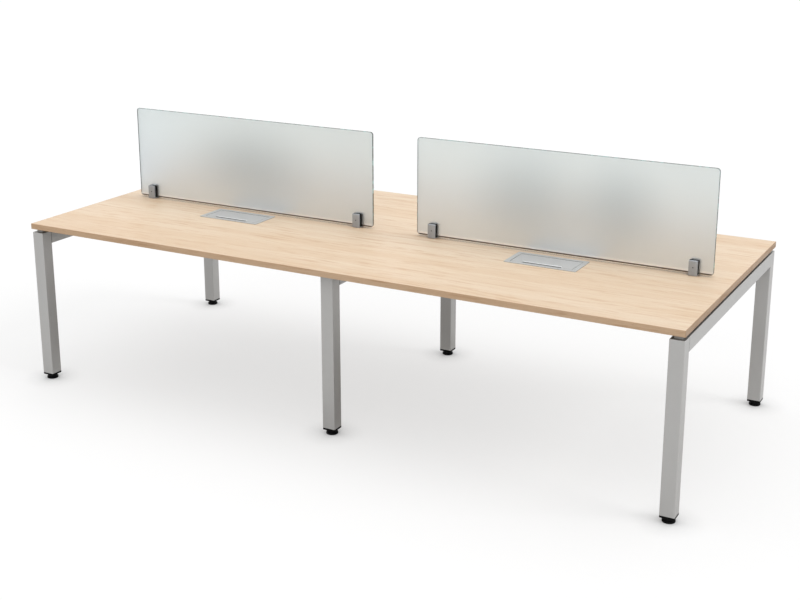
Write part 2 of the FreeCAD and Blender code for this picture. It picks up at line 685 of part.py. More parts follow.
def make_port_frame(side, row):
    """Make one port frame: a flange on the board, a collar through it and the lid's ledge."""
    name = f"port_frame_{ROW_NAMES[row]}_{SIDE_NAMES[side]}"
    body = node(name, signed(side, "port_x"), port_line(row), "top_high")
    collar = sketch_on(body, "XY_Plane")
    rectangle(collar, "0", "0", "collar_wide", "collar_deep")
    pad(body, collar, "collar_high", down=True)
    flange = sketch_on(body, "XY_Plane")
    rectangle(flange, "0", "0", "port_wide", "port_deep")
    plate = pad(body, flange, "flange_high")
    box = plate.Shape.BoundBox
    dress(body, "Fillet", runs_along("Z", box), "flange_round")
    dress(body, "Fillet", lambda edge: edge.BoundBox.ZMin > box.ZMax - NEAR, "flange_edge")
    back = signed(-row, f"({HINGE_LINE} + barrel_dia / 2 + lid_swing)")
    ahead = signed(row, "(lid_deep / 2 + lid_play)")
    recess = sketch_on(body, "XY_Plane", "flange_high")
    rectangle(recess, "0", f"({back} + {ahead}) / 2", "(lid_wide + 2 * lid_play)",
              "(lid_deep + lid_play + lid_swing)")
    pocket(body, recess, "lid_thick + lid_rest")
    trough = sketch_on(body, "XY_Plane", "flange_high")
    rectangle(trough, "0", signed(-row, HINGE_LINE), "(lid_wide + 2 * lid_play)",
              "(barrel_dia + 2 * lid_swing)")
    pocket(body, trough, "barrel_dia + lid_play")
    well = sketch_on(body, "XY_Plane", "flange_high")
    rectangle(well, "0", "0", "well_wide", "well_deep")
    pocket(body, well)
    mouth = sketch_on(body, "XY_Plane", "flange_high")
    rectangle(mouth, "0", signed(row, "((lid_deep + well_deep) / 4)"), "slot_wide",
              "((lid_deep - well_deep) / 2)")
    pocket(body, mouth)
    pins = sketch_on(body, "YZ_Plane", "port_wide / 2")
    circle(pins, signed(-row, HINGE_LINE), HINGE_DROP, "hinge_pin")
    pocket(body, pins)


def make_port_lid(side, row):
    """Make one lid, drawn about its hinge line, with its barrel, cable slot and lip."""
    name = f"port_lid_{ROW_NAMES[row]}_{SIDE_NAMES[side]}"
    line = f"{port_line(row)} + {signed(-row, HINGE_LINE)}"
    body = node(name, signed(side, "port_x"), line, f"top_high + {HINGE_DROP}")
    reach = signed(row, "(lid_deep - barrel_dia / 2)")
    notch = signed(row, "(lid_deep - barrel_dia / 2 - slot_deep)")
    plate = sketch_on(body, "XY_Plane", "barrel_dia / 2 - lid_thick")
    half_lid, half_slot = "lid_wide / 2", "slot_wide / 2"
    outline(plate, [
        (f"-1 * {half_lid}", "0"), (half_lid, "0"), (half_lid, reach), (half_slot, reach),
        (half_slot, notch), (f"-1 * {half_slot}", notch), (f"-1 * {half_slot}", reach),
        (f"-1 * {half_lid}", reach),
    ])
    pad(body, plate, "lid_thick")
    barrel = sketch_on(body, "YZ_Plane", "lid_wide / -2")
    circle(barrel, "0", "0", "barrel_dia")
    pad(body, barrel, "lid_wide")
    lip = sketch_on(body, "XY_Plane", "barrel_dia / 2")
    rectangle(lip, "0", f"{notch} - {signed(row, 'lip_deep / 2')}", "slot_wide", "lip_deep")
    pad(body, lip, "lip_high")
    bore = sketch_on(body, "YZ_Plane", "lid_wide / 2")
    circle(bore, "0", "0", "hinge_pin + 2 * pin_play")
    pocket(body, bore)


def make_hinge_pins():
    """Make the two short pins of every lid, fast in the port frame."""
    body = node("port_hinge_pins", z=f"top_high + {HINGE_DROP}")
    long = "((collar_wide - lid_wide) / 2 + pin_reach)"
    for side in (LEFT, RIGHT):
        for end in (LEFT, RIGHT):
            outside = f"{signed(side, 'port_x')} + {signed(end, 'collar_wide / 2')}"
            pins = sketch_on(body, "YZ_Plane", outside)
            for row in (FRONT, REAR):
                circle(pins, f"{port_line(row)} + {signed(-row, HINGE_LINE)}", "0", "hinge_pin")
            pad(body, pins, long, down=end == RIGHT)


def leg_places():
    """Return the six legs: name, row and the middle of each in X and Y."""
    return [(f"{ROW_NAMES[row]}_{name}", frame_x(sign),
             signed(row, f"(top_deep / 2 - {inset} - leg_side / 2)"))
            for name, sign, inset, _ in FRAMES for row in (FRONT, REAR)]


def make_end_caps():
    """Make the black caps in the lower ends of the legs, each threaded for its foot."""
    body = node("leg_end_caps", z="metal_low")
    lips = sketch_on(body, "XY_Plane")
    plugs = sketch_on(body, "XY_Plane")
    threads = sketch_on(body, "XY_Plane", "cap_plug")
    inner = "(leg_side - 2 * tube_wall)"
    for _, x, y in leg_places():
        rectangle(lips, x, y, "leg_side", "leg_side")
        rectangle(plugs, x, y, inner, inner)
        circle(threads, x, y, "stem_dia + 2 * stem_play")
    pad(body, lips, "cap_lip", down=True)
    dress(body, "Fillet", runs_along("Z"), "tube_round")
    pad(body, plugs, "cap_plug")
    pocket(body, threads)


def make_foot(name, x, y):
    """Turn one levelling foot: a stepped base and the stem that screws into the cap."""
    body = node(f"foot_{name}", x, y)
    profile = sketch_on(body, "XZ_Plane")
    base, step, stem = "foot_dia / 2", "foot_step / 2", "stem_dia / 2"
    outline(profile, [
        ("0", "0"), (f"{base} - foot_bevel", "0"), (base, "foot_bevel"),
        (base, "foot_base_high - foot_bevel"), (f"{base} - foot_bevel", "foot_base_high"),
        (step, "foot_base_high"), (step, "foot_high - foot_bevel"), (f"{step} - foot_bevel", "foot_high"),
        (stem, "foot_high"), (stem, "stem_top"), ("0", "stem_top"),
    ])
    turned = body.newObject("PartDesign::Revolution", "turned")
    turned.Profile = profile
    turned.ReferenceAxis = (profile, ["V_Axis"])
    turned.Angle = 360
    body.Tip = turned
    doc.recompute()


def strap_places(side):
    """Return the X of the two straps over one cable tray."""
    return [f"({signed(side, 'port_x')} + {signed(end, 'strap_offset')})" for end in (-1, 1)]


def lip_lines():
    """Return the middle lines of a tray's two lips."""
    return [f"(screen_back + {signed(row, '((tray_wide + tray_lip) / 2)')})" for row in (FRONT, REAR)]


def make_tray(side):
    """Fold one cable tray with two turned-out lips."""
    start = f"{signed(side, 'port_x')} - tray_long / 2"
    body = node(f"cable_tray_{SIDE_NAMES[side]}", start, "screen_back", f"{RAIL_TOP} - tray_high")
    half, inner = "(tray_wide / 2)", "(tray_wide / 2 - tray_skin)"
    edge, under = f"({half} + tray_lip)", "(tray_high - tray_skin)"
    profile = sketch_on(body, "YZ_Plane")
    right_half = [(half, "0"), (half, under), (edge, under), (edge, "tray_high"),
                  (inner, "tray_high"), (inner, "tray_skin")]
    left_half = [(f"-1 * {y}", z) for y, z in reversed(right_half)]
    outline(profile, right_half + left_half)
    pad(body, profile, "tray_long")
    holes = sketch_on(body, "XY_Plane")
    for x in strap_places(side):
        for y in lip_lines():
            circle(holes, f"{x} - ({start})", f"{y} - screen_back", "screw_dia")
    pocket(body, holes, along=True)


def make_straps():
    """Make the straps across the rails that carry the trays, and their screws."""
    straps = node("tray_straps", z=RAIL_TOP)
    blanks = sketch_on(straps, "XY_Plane")
    holes = sketch_on(straps, "XY_Plane")
    screws = node("tray_strap_screws", z=f"{RAIL_TOP} + strap_thick")
    shanks = sketch_on(screws, "XY_Plane")
    heads = sketch_on(screws, "XY_Plane")
    lines = ["rail_offset", "-1 * rail_offset"] + lip_lines()
    for side in (LEFT, RIGHT):
        for x in strap_places(side):
            rectangle(blanks, x, "0", "strap_wide", "(2 * rail_offset + rail_wide)")
            for y in lines:
                circle(holes, x, y, "screw_dia")
                circle(shanks, x, y, "screw_dia")
                circle(heads, x, y, "screw_head")
    pad(straps, blanks, "strap_thick")
    pocket(straps, holes, along=True)
    pad(screws, shanks, "strap_thick + strap_bite", down=True)
    pad(screws, heads, "screw_head_high")


def build():
    """Make every sub-part of the desk."""
    fill_sheet()
    for name, sign, inset, _ in FRAMES:
        for row in (FRONT, REAR):
            make_leg(name, sign, row, inset)
        make_crossbar(name, sign, inset)
    for side in (LEFT, RIGHT):
        for row in (FRONT, REAR):
            make_rail(side, row)
            make_port_frame(side, row)
            make_port_lid(side, row)
        make_worktop(side)
        make_edge_band(side)
        make_screen(side)
        make_tray(side)
    for name, x in clip_places():
        make_clip(name, x)
    for name, x, y in leg_places():
        make_foot(name, x, y)
    for make in (make_brackets, make_bracket_bolts, make_bracket_nuts, make_lock_screws, make_spacers,
                 make_worktop_screws, make_splices, make_clip_fittings, make_hinge_pins, make_end_caps,
                 make_straps):
        make()
    doc.recompute()


def check():
    """Stop if any object failed or any sub-part has no sound shape."""
    for item in doc.Objects:
        if "Invalid" in item.State or "Error" in item.State:
            raise RuntimeError(f"{item.Label} failed: {item.State}")
    for body in nodes:
        if body.Shape.isNull() or not body.Shape.isValid():
            raise RuntimeError(f"{body.Label} has no valid shape")


def write():
    """Write each sub-part to its own file and print its size."""
    os.makedirs("parts", exist_ok=True)
    for body in nodes:
        box = body.Shape.BoundBox
        body.Shape.exportStep(f"parts/{body.Label}.step")
        print(f"{body.Label}: {len(body.Shape.Solids)} solids, "
              f"{box.XLength:.1f} x {box.YLength:.1f} x {box.ZLength:.1f} mm")
    print(len(nodes), "nodes")


build()
check()
write()
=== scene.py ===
"""Looks of a four-person bench desk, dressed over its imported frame. Metres, +X along the desk, +Z up."""

import json
import logging
import math
from collections.abc import Callable, Iterator
from contextlib import contextmanager
from dataclasses import dataclass
from enum import Enum
from typing import Protocol

import bmesh
import bpy
from mathutils import Matrix, Vector


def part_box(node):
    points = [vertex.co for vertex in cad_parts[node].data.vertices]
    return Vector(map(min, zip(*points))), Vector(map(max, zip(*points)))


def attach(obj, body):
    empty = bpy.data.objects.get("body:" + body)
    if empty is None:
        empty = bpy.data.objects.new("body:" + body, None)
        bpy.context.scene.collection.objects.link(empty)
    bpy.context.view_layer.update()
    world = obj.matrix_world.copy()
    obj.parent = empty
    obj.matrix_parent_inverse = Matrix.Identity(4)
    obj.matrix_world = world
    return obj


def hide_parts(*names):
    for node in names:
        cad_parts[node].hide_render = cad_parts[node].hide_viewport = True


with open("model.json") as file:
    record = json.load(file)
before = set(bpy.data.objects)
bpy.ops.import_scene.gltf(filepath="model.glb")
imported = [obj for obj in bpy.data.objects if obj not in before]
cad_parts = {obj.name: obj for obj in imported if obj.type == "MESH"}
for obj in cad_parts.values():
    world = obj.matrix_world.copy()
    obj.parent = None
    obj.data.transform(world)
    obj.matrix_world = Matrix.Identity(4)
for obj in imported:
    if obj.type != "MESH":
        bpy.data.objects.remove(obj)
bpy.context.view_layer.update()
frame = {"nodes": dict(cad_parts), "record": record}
LOG = logging.getLogger("bench_desk")

Colour = tuple[float, float, float, float]
Socket = bpy.types.NodeSocket
Sockets = dict[str, Socket]

WHITE: Colour = (1.0, 1.0, 1.0, 1.0)
BLACK: Colour = (0.0, 0.0, 0.0, 1.0)
# Where most values of a noise texture lie.
NOISE_RANGE = (0.3, 0.7)
OPENNESS_SAMPLES = 6
# Two places closer than this are the same place.
NEAR = 1e-6
# Least cosine of an edge's angle to an axis that it runs along, and of a face's that it looks along.
PARALLEL = 0.999
FACING = 0.9
# Least angle between the faces at a sharp edge, in radians.
SHARP = 0.7
SCREEN_CORNER = 0.014


class Slot(Enum):
    """The record's material slots."""

    WOOD_TOP = "wood_top"
    WOOD_EDGE = "wood_edge"
    FRAME = "frame_silver"
    SPACER = "spacer_silver"
    TRAY = "tray_grey"
    STEEL = "plated_steel"
    GLASS = "frosted_glass"
    CLIP = "clip_grey"
    LINER = "liner_black"
    SCREW = "screw_dark"
    PORT = "port_grey"
    FOOT = "foot_black"


class Row(Enum):
    """The two long sides of the desk."""

    FRONT = "front"
    REAR = "rear"

    @property
    def way(self) -> int:
        """Return the sign of Y on this side."""
        return -1 if self is Row.FRONT else 1


class Side(Enum):
    """The two bays of the desk."""

    LEFT = "left"
    RIGHT = "right"


class Stand(Enum):
    """The three frames of legs."""

    LEFT = "left"
    MIDDLE = "middle"
    RIGHT = "right"


class End(Enum):
    """The two clips of a screen, towards the desk's end and towards its middle."""

    OUTER = "outer"
    INNER = "inner"


class Pick(Enum):
    """What an edit selects."""

    EDGES = "EDGE"
    FACES = "FACE"


class Combine(Enum):
    """How one piece is put together with another."""

    CUT = "DIFFERENCE"
    ADD = "UNION"


class Mixed(Enum):
    """What a Mix node mixes: its data type, the numbers of its two inputs and the number of its output."""

    COLOUR = ("RGBA", 6, 7, 2)
    VECTOR = ("VECTOR", 4, 5, 1)


def shade(red: int, green: int, blue: int) -> Colour:
    """Turn a screen colour, 0 to 255, into the linear colour that a shader takes.

    Args:
        red: red level on the screen.
        green: green level on the screen.
        blue: blue level on the screen.

    Returns:
        The linear colour with full alpha.
    """
    levels = [level / 255 for level in (red, green, blue)]
    # The numbers are those of the sRGB curve.
    linear = [v / 12.92 if v <= 0.04045 else ((v + 0.055) / 1.055) ** 2.4 for v in levels]
    return (linear[0], linear[1], linear[2], 1.0)


def grey(level: float) -> Colour:
    """Return the linear grey of a level, 0 to 1."""
    return (level, level, level, 1.0)


class Net:
    """A node tree being wired up, for a material or for a node group."""

    def __init__(self, tree: bpy.types.NodeTree) -> None:
        """Keep the tree."""
        self.tree = tree

    def add(self, kind: str, **settings: object) -> bpy.types.Node:
        """Add a node.

        Args:
            kind: the node's type, without its ShaderNode prefix.
            settings: properties of the node to set.

        Returns:
            The new node.
        """
        node = self.tree.nodes.new("ShaderNode" + kind)
        for name, value in settings.items():
            setattr(node, name, value)
        return node

    def feed(self, target: Socket, value: object) -> None:
        """Link a socket to the target, or set the target's own value.

        Args:
            target: an input of a node.
            value: a socket, or a number, colour or vector.
        """
        if isinstance(value, bpy.types.NodeSocket):
            self.tree.links.new(value, target)
        else:
            target.default_value = value

    def calc(self, operation: str, first: object, second: object = 0.0) -> Socket:
        """Add a math node.

        Args:
            operation: the node's operation.
            first: first number or socket.
            second: second number or socket.

        Returns:
            The node's result.
        """
        node = self.add("Math", operation=operation)
        self.feed(node.inputs[0], first)
        self.feed(node.inputs[1], second)
        return node.outputs[0]

    def blend(self, amount: object, first: object, second: object, kind: str = "MIX",
              what: Mixed = Mixed.COLOUR) -> Socket:
        """Mix two colours or two coordinates.

        Args:
            amount: share of the second one.
            first: first value or socket.
            second: second value or socket.
            kind: the node's way of mixing.
            what: whether colours or coordinates are mixed.

        Returns:
            The mixed value.
        """
        data_type, one, two, result = what.value
        node = self.add("Mix", data_type=data_type, blend_type=kind)
        for number, value in ((0, amount), (one, first), (two, second)):
            self.feed(node.inputs[number], value)
        return node.outputs[result]

    def apart(self, vector: Socket) -> Sockets:
        """Take a coordinate apart.

        Args:
            vector: the coordinate.

        Returns:
            Its X, Y and Z by name.
        """
        node = self.add("SeparateXYZ")
        self.feed(node.inputs[0], vector)
        return {socket.name: socket for socket in node.outputs}

    def stretch(self, vector: Socket, scale: tuple[float, float, float]) -> Socket:
        """Scale a coordinate along its three axes.

        Args:
            vector: the coordinate.
            scale: pattern repeats per metre along X, Y and Z.

        Returns:
            The scaled coordinate.
        """
        node = self.add("Mapping", vector_type="POINT")
        self.feed(node.inputs["Vector"], vector)
        node.inputs["Scale"].default_value = scale
        return node.outputs[0]

    def noise(self, vector: Socket, scale: object, detail: float = 2.0, rough: float = 0.5) -> Socket:
        """Add a noise texture.

        Args:
            vector: the coordinate.
            scale: its scale, a number or a socket.
            detail: octaves of detail.
            rough: strength of the finer octaves.

        Returns:
            The noise value, about 0.5.
        """
        node = self.add("TexNoise", noise_dimensions="3D")
        self.feed(node.inputs["Vector"], vector)
        self.feed(node.inputs["Scale"], scale)
        node.inputs["Detail"].default_value = detail
        node.inputs["Roughness"].default_value = rough
        return node.outputs["Fac"]

    def ramp(self, value: Socket, low: float, high: float, start: float = 0.0, end: float = 1.0) -> Socket:
        """Spread a value's range over another, smoothly and clamped.

        Args:
            value: the value to spread.
            low: value that gives the start.
            high: value that gives the end.
            start: result at the low value.
            end: result at the high value.

        Returns:
            The new value.
        """
        node = self.add("MapRange", interpolation_type="SMOOTHSTEP")
        for name, number in zip(("From Min", "From Max", "To Min", "To Max"), (low, high, start, end)):
            node.inputs[name].default_value = number
        self.feed(node.inputs["Value"], value)
        return node.outputs[0]

    def fade(self, value: Socket, low: float, high: float, most: float = 1.0) -> Socket:
        """Return a share that is at its most up to a low value and falls to 0 at a high one."""
        return self.ramp(value, low, high, most, 0.0)

    def openness(self, reach: float) -> Socket:
        """Measure how open the surface lies.

        Args:
            reach: how far off another surface still closes it in, in metres.

        Returns:
            0 in a deep crevice, 1 in the open.
        """
        node = self.add("AmbientOcclusion", samples=OPENNESS_SAMPLES)
        node.inputs["Distance"].default_value = reach
        return node.outputs["AO"]


class Group:
    """A shader effect that several finishes share, built once and placed in each."""

    def __init__(self, name: str, inputs: dict[str, tuple[str, object]], outputs: dict[str, str]) -> None:
        """Make the group's tree with its named sockets.

        Args:
            name: the group's name.
            inputs: socket kind and default by input name.
            outputs: socket kind by output name.
        """
        self.tree = bpy.data.node_groups.new(name, "ShaderNodeTree")
        for label, (kind, value) in inputs.items():
            socket = self.tree.interface.new_socket(label, in_out="INPUT", socket_type="NodeSocket" + kind)
            if value is not None:
                socket.default_value = value
        for label, kind in outputs.items():
            self.tree.interface.new_socket(label, in_out="OUTPUT", socket_type="NodeSocket" + kind)
        self.net = Net(self.tree)
        self.inlet = self.tree.nodes.new("NodeGroupInput").outputs
        self.outlet = self.tree.nodes.new("NodeGroupOutput").inputs

    def put(self, label: str, value: Socket) -> None:
        """Wire a value to one of the group's outputs."""
        self.net.feed(self.outlet[label], value)

    def use(self, net: Net, **values: object) -> Sockets:
        """Place the group in a material.

        Args:
            net: the material's net.
            values: a number, colour or socket for each input.

        Returns:
            The outputs by name.
        """
        node = net.add("Group")
        node.node_tree = self.tree
        for label, value in values.items():
            net.feed(node.inputs[label], value)
        return {socket.name: socket for socket in node.outputs}


def make_drift() -> Group:
    """Build the slow drift of tone that keeps a coat from being one flat colour.

    Returns:
        The group.
    """
    group = Group("tone_drift",
                  {"Vector": ("Vector", None), "Colour": ("Color", WHITE), "Scale": ("Float", 3.0),
                   "Amount": ("Float", 0.1)},
                  {"Colour": "Color", "Mask": "Float"})
    net, inlet = group.net, group.inlet
    mask = net.noise(inlet["Vector"], inlet["Scale"], detail=4.0)
    darker = net.calc("SUBTRACT", 1.0, net.calc("MULTIPLY", mask, inlet["Amount"]))
    tone = net.add("CombineColor")
    for channel in tone.inputs:
        net.feed(channel, darker)
    group.put("Colour", net.blend(1.0, inlet["Colour"], tone.outputs[0], "MULTIPLY"))
    group.put("Mask", mask)
    return group


def make_speckle(finer: float = 3.1, fine_share: float = 0.3,
                 sparkling: tuple[float, float] = (0.55, 0.75)) -> Group:
    """Build the fine orange peel of a powder coat or of moulded plastic.

    Args:
        finer: how much finer the second pattern is than the first.
        fine_share: the finer pattern's share of the height.
        sparkling: values of the finer pattern between which the sparkle comes up.

    Returns:
        The group.
    """
    group = Group("fine_speckle",
                  {"Vector": ("Vector", None), "Scale": ("Float", 900.0)},
                  {"Height": "Float", "Sparkle": "Float"})
    net, inlet = group.net, group.inlet
    coarse = net.noise(inlet["Vector"], inlet["Scale"], detail=2.0)
    fine = net.noise(inlet["Vector"], net.calc("MULTIPLY", inlet["Scale"], finer), detail=1.0)
    group.put("Height", net.calc("ADD", net.calc("MULTIPLY", coarse, 1.0 - fine_share),
                                 net.calc("MULTIPLY", fine, fine_share)))
    group.put("Sparkle", net.ramp(fine, *sparkling))
    return group


def make_brush() -> Group:
    """Build the fine lines that brushing or drawing leaves in metal, along one stretched axis.

    Returns:
        The group.
    """
    group = Group("brushed_lines", {"Vector": ("Vector", None), "Scale": ("Float", 1.0)},
                  {"Height": "Float"})
    inlet = group.inlet
    group.put("Height", group.net.noise(inlet["Vector"], inlet["Scale"], detail=3.0, rough=0.7))
    return group


@dataclass(frozen=True)
class Strands:
    """Strands of grain: repeats per metre along and across it, octaves, and the noise that makes them."""

    along: float
    across: float
    detail: float
    low: float
    high: float
    least: float = 0.0
    rough: float = 0.6

    def mask(self, net: Net, grain: Socket) -> Socket:
        """Lay the strands along a coordinate's X.

        Args:
            net: the net that they are part of.
            grain: the coordinate.

        Returns:
            A mask, from the least to 1 on a strand.
        """
        place = net.stretch(grain, (self.along, self.across, self.across))
        return net.ramp(net.noise(place, 1.0, self.detail, self.rough), self.low, self.high, self.least)


@dataclass(frozen=True)
class StraightGrain:
    """The pale straight grain of the boards and their edge bands, which runs along the vector's X."""

    sway_scale: tuple[float, float, float] = (1.1, 3.0, 3.0)
    sway_reach: tuple[float, float, float] = (0.0, 0.05, 0.05)
    bands: Strands = Strands(along=0.5, across=11.0, detail=3.0, low=0.34, high=0.66)
    streaks: Strands = Strands(along=6.0, across=64.0, detail=4.0, low=0.48, high=0.66)
    clusters: Strands = Strands(along=1.3, across=16.0, detail=2.0, low=0.40, high=0.64, least=0.35)
    fibres: Strands = Strands(along=9.0, across=520.0, detail=3.0, low=0.35, high=0.7)
    pores: Strands = Strands(along=38.0, across=900.0, detail=1.0, low=0.66, high=0.76)
    streak_share: float = 0.66
    fibre_share: float = 0.22
    pore_share: float = 0.45
    fibre_rise: float = 0.4
    full_grain: float = 1.6
    rough: tuple[float, float] = (0.40, 0.52)

    def group(self) -> Group:
        """Build the group.

        Returns:
            The group, with the wood's colour, height and roughness.
        """
        tones = {name: ("Color", WHITE) for name in ("Light", "Warm", "Streak", "Pore")}
        group = Group("straight_grain", {"Vector": ("Vector", None)} | tones,
                      {"Colour": "Color", "Height": "Float", "Roughness": "Float"})
        net, inlet = group.net, group.inlet
        grain = self._swayed(net, inlet["Vector"])
        bands, streaks, clusters, fibres, pores = (
            strands.mask(net, grain)
            for strands in (self.bands, self.streaks, self.clusters, self.fibres, self.pores))
        tone = net.blend(bands, inlet["Light"], inlet["Warm"])
        marks = net.calc("MULTIPLY", net.calc("MULTIPLY", streaks, clusters), self.streak_share)
        tone = net.blend(marks, tone, inlet["Streak"])
        tone = net.blend(net.calc("MULTIPLY", fibres, self.fibre_share), tone, inlet["Streak"])
        tone = net.blend(net.calc("MULTIPLY", pores, self.pore_share), tone, inlet["Pore"])
        group.put("Colour", tone)
        group.put("Height", net.calc("SUBTRACT", net.calc("MULTIPLY", fibres, self.fibre_rise), pores))
        full = net.calc("ADD", streaks, fibres)
        group.put("Roughness", net.ramp(full, 0.0, self.full_grain, *self.rough))
        return group

    def _swayed(self, net: Net, vector: Socket) -> Socket:
        """Bend a coordinate, so that the strands sway a little across the grain.

        Args:
            net: the group's net.
            vector: the straight coordinate.

        Returns:
            The bent coordinate.
        """
        sway = net.add("TexNoise", noise_dimensions="3D")
        net.feed(sway.inputs["Vector"], net.stretch(vector, self.sway_scale))
        sway.inputs["Scale"].default_value = 1.0
        centred = net.add("VectorMath", operation="SUBTRACT")
        net.feed(centred.inputs[0], sway.outputs["Color"])
        centred.inputs[1].default_value = (0.5, 0.5, 0.5)
        bent = net.add("VectorMath", operation="MULTIPLY_ADD")
        net.feed(bent.inputs[0], centred.outputs[0])
        bent.inputs[1].default_value = self.sway_reach
        net.feed(bent.inputs[2], vector)
        return bent.outputs[0]


@dataclass(frozen=True)
class Effects:
    """The shared shader groups."""

    drift: Group
    speckle: Group
    brush: Group
    wood: Group


class Paint:
    """One material being made: its net, its Principled shader and its Object coordinate."""

    def __init__(self, name: str) -> None:
        """Make the material with a bare Principled shader.

        Args:
            name: the material's name.
        """
        self.material = bpy.data.materials.new(name)
        self.material.use_nodes = True
        self.net = Net(self.material.node_tree)
        self.shader = self.material.node_tree.nodes["Principled BSDF"]
        self.place = self.net.add("TexCoord").outputs["Object"]

    def set(self, **values: object) -> None:
        """Set or link inputs of the shader, named with _ for a space."""
        for name, value in values.items():
            self.net.feed(self.shader.inputs[name.replace("_", " ")], value)

    def bump(self, height: Socket, depth: float) -> None:
        """Raise the surface by a height.

        Args:
            height: height from 0 to 1.
            depth: size of one unit of height, in metres.
        """
        node = self.net.add("Bump")
        node.inputs["Strength"].default_value = 1.0
        node.inputs["Distance"].default_value = depth
        self.net.feed(node.inputs["Height"], height)
        self.net.feed(self.shader.inputs["Normal"], node.outputs[0])


class Finish(Protocol):
    """What every finish can do."""

    def material(self, effects: Effects) -> bpy.types.Material:
        """Build the finish's material."""


@dataclass(frozen=True)
class Coat:
    """A sprayed or moulded finish, with painted shade in its corners and seams well above the floor."""

    name: str
    tone: Colour
    rough: float
    metal: float = 0.0
    coat: float = 0.0
    coat_rough: float = 0.25
    drift: float = 0.08
    drift_scale: float = 6.0
    grain: float = 900.0
    depth: float = 0.00003
    gloss: float = 0.5
    sparkle: float = 0.06
    shade_depth: float = 0.0
    shade_reach: float = 0.12
    shade_from: tuple[float, float] = (0.25, 0.45)

    def material(self, effects: Effects) -> bpy.types.Material:
        """Build the material.

        Args:
            effects: the shared shader groups.

        Returns:
            The finished material.
        """
        paint = Paint(self.name)
        net = paint.net
        tone = effects.drift.use(net, Vector=paint.place, Colour=self.tone, Scale=self.drift_scale,
                                 Amount=self.drift)["Colour"]
        if self.shade_depth:
            tone = self._shaded(paint, tone)
        speckle = effects.speckle.use(net, Vector=paint.place, Scale=self.grain)
        rough = net.ramp(speckle["Sparkle"], 0.0, 1.0, self.rough, self.rough - self.sparkle)
        paint.set(Base_Color=tone, Metallic=self.metal, Roughness=rough, Specular_IOR_Level=self.gloss,
                  Coat_Weight=self.coat, Coat_Roughness=self.coat_rough)
        paint.bump(speckle["Height"], self.depth)
        return paint.material

    def _shaded(self, paint: Paint, tone: Socket) -> Socket:
        """Paint shade into the corners and seams, fully above the upper height and not at all below the
        lower one.

        Args:
            paint: the material being made.
            tone: the colour in the open.

        Returns:
            The colour with its shaded corners.
        """
        net = paint.net
        # Painted shade: the colour turns towards black where other surfaces close it in, high up only.
        corners = net.fade(net.openness(self.shade_reach), 0.0, 1.0, self.shade_depth)
        high = net.ramp(net.apart(paint.place)["Z"], *self.shade_from)
        return net.blend(net.calc("MULTIPLY", corners, high), tone, BLACK)


@dataclass(frozen=True)
class BrushedMetal:
    """A bare or anodised metal with fine lines along one direction."""

    name: str
    tone: Colour
    rough: float
    lines: tuple[float, float, float] = (60.0, 2400.0, 2400.0)
    metal: float = 1.0
    drift: float = 0.12
    drift_scale: float = 25.0
    spread: float = 0.07
    depth: float = 0.00002

    def material(self, effects: Effects) -> bpy.types.Material:
        """Build the material.

        Args:
            effects: the shared shader groups.

        Returns:
            The finished material.
        """
        paint = Paint(self.name)
        net = paint.net
        tone = effects.drift.use(net, Vector=paint.place, Colour=self.tone, Scale=self.drift_scale,
                                 Amount=self.drift)["Colour"]
        lines = effects.brush.use(net, Vector=net.stretch(paint.place, self.lines), Scale=1.0)["Height"]
        rough = net.ramp(lines, *NOISE_RANGE, self.rough - self.spread, self.rough + self.spread)
        paint.set(Base_Color=tone, Metallic=self.metal, Roughness=rough)
        paint.bump(lines, self.depth)
        return paint.material


@dataclass(frozen=True)
class WoodEffect:
    """The printed wood of the boards and their bands, with painted shade in crevices and on the desk's
    ends.
    """

    name: str
    light: Colour
    warm: Colour
    streak: Colour
    pore: Colour
    shadow: Colour = shade(72, 52, 36)
    end_band: float = 0.0
    end_shade: float = 0.70
    crevice_shade_reach: float = 0.03
    crevice_shade_open: float = 0.9
    gloss: float = 0.35
    depth: float = 0.00004

    def material(self, effects: Effects) -> bpy.types.Material:
        """Build the material, with the grain turned along Y and a painted shade where X is beyond the inner
        face of an end band.

        Args:
            effects: the shared shader groups.

        Returns:
            The finished material.
        """
        paint = Paint(self.name)
        net = paint.net
        vector, beyond = paint.place, None
        if self.end_band:
            parts = net.apart(vector)
            turned = net.add("CombineXYZ")
            for target, axis in zip(turned.inputs, "YXZ"):
                net.feed(target, parts[axis])
            beyond = net.calc("GREATER_THAN", net.calc("ABSOLUTE", parts["X"]), self.end_band)
            vector = net.blend(beyond, vector, turned.outputs[0], what=Mixed.VECTOR)
        wood = effects.wood.use(net, Vector=vector, Light=self.light, Warm=self.warm, Streak=self.streak,
                                Pore=self.pore)
        tone = wood["Colour"]
        # Painted shade: the end bands are made darker than the rest of the wood.
        if beyond:
            tone = net.blend(beyond, tone, grey(self.end_shade), "MULTIPLY")
        # Painted shade: the wood turns towards the shadow colour where other surfaces close it in.
        tone = net.blend(net.fade(net.openness(self.crevice_shade_reach), 0.0, self.crevice_shade_open), tone, self.shadow)
        paint.set(Base_Color=tone, Roughness=wood["Roughness"], Specular_IOR_Level=self.gloss)
        paint.bump(wood["Height"], self.depth)
        return paint.material


@dataclass(frozen=True)
class ShadeCloud:
    """A soft grey patch of painted shade in the glass: its middle and its reach, along the desk and
    upwards.
    """

    middle: tuple[float, float]
    reach: tuple[float, float]

    def mask(self, net: Net, parts: Sockets) -> Socket:
        """Measure how deep in the patch of painted shade a point is.

        Args:
            net: the material's net.
            parts: the point's X, Y and Z.

        Returns:
            1 in the middle, fading to 0 at the patch's reach.
        """
        shares = []
        for axis, middle, reach in zip("XZ", self.middle, self.reach):
            share = net.calc("DIVIDE", net.calc("SUBTRACT", parts[axis], middle), reach)
            shares.append(net.calc("MULTIPLY", share, share))
        return net.fade(net.calc("SQRT", net.calc("ADD", *shares)), 0.0, 1.0)


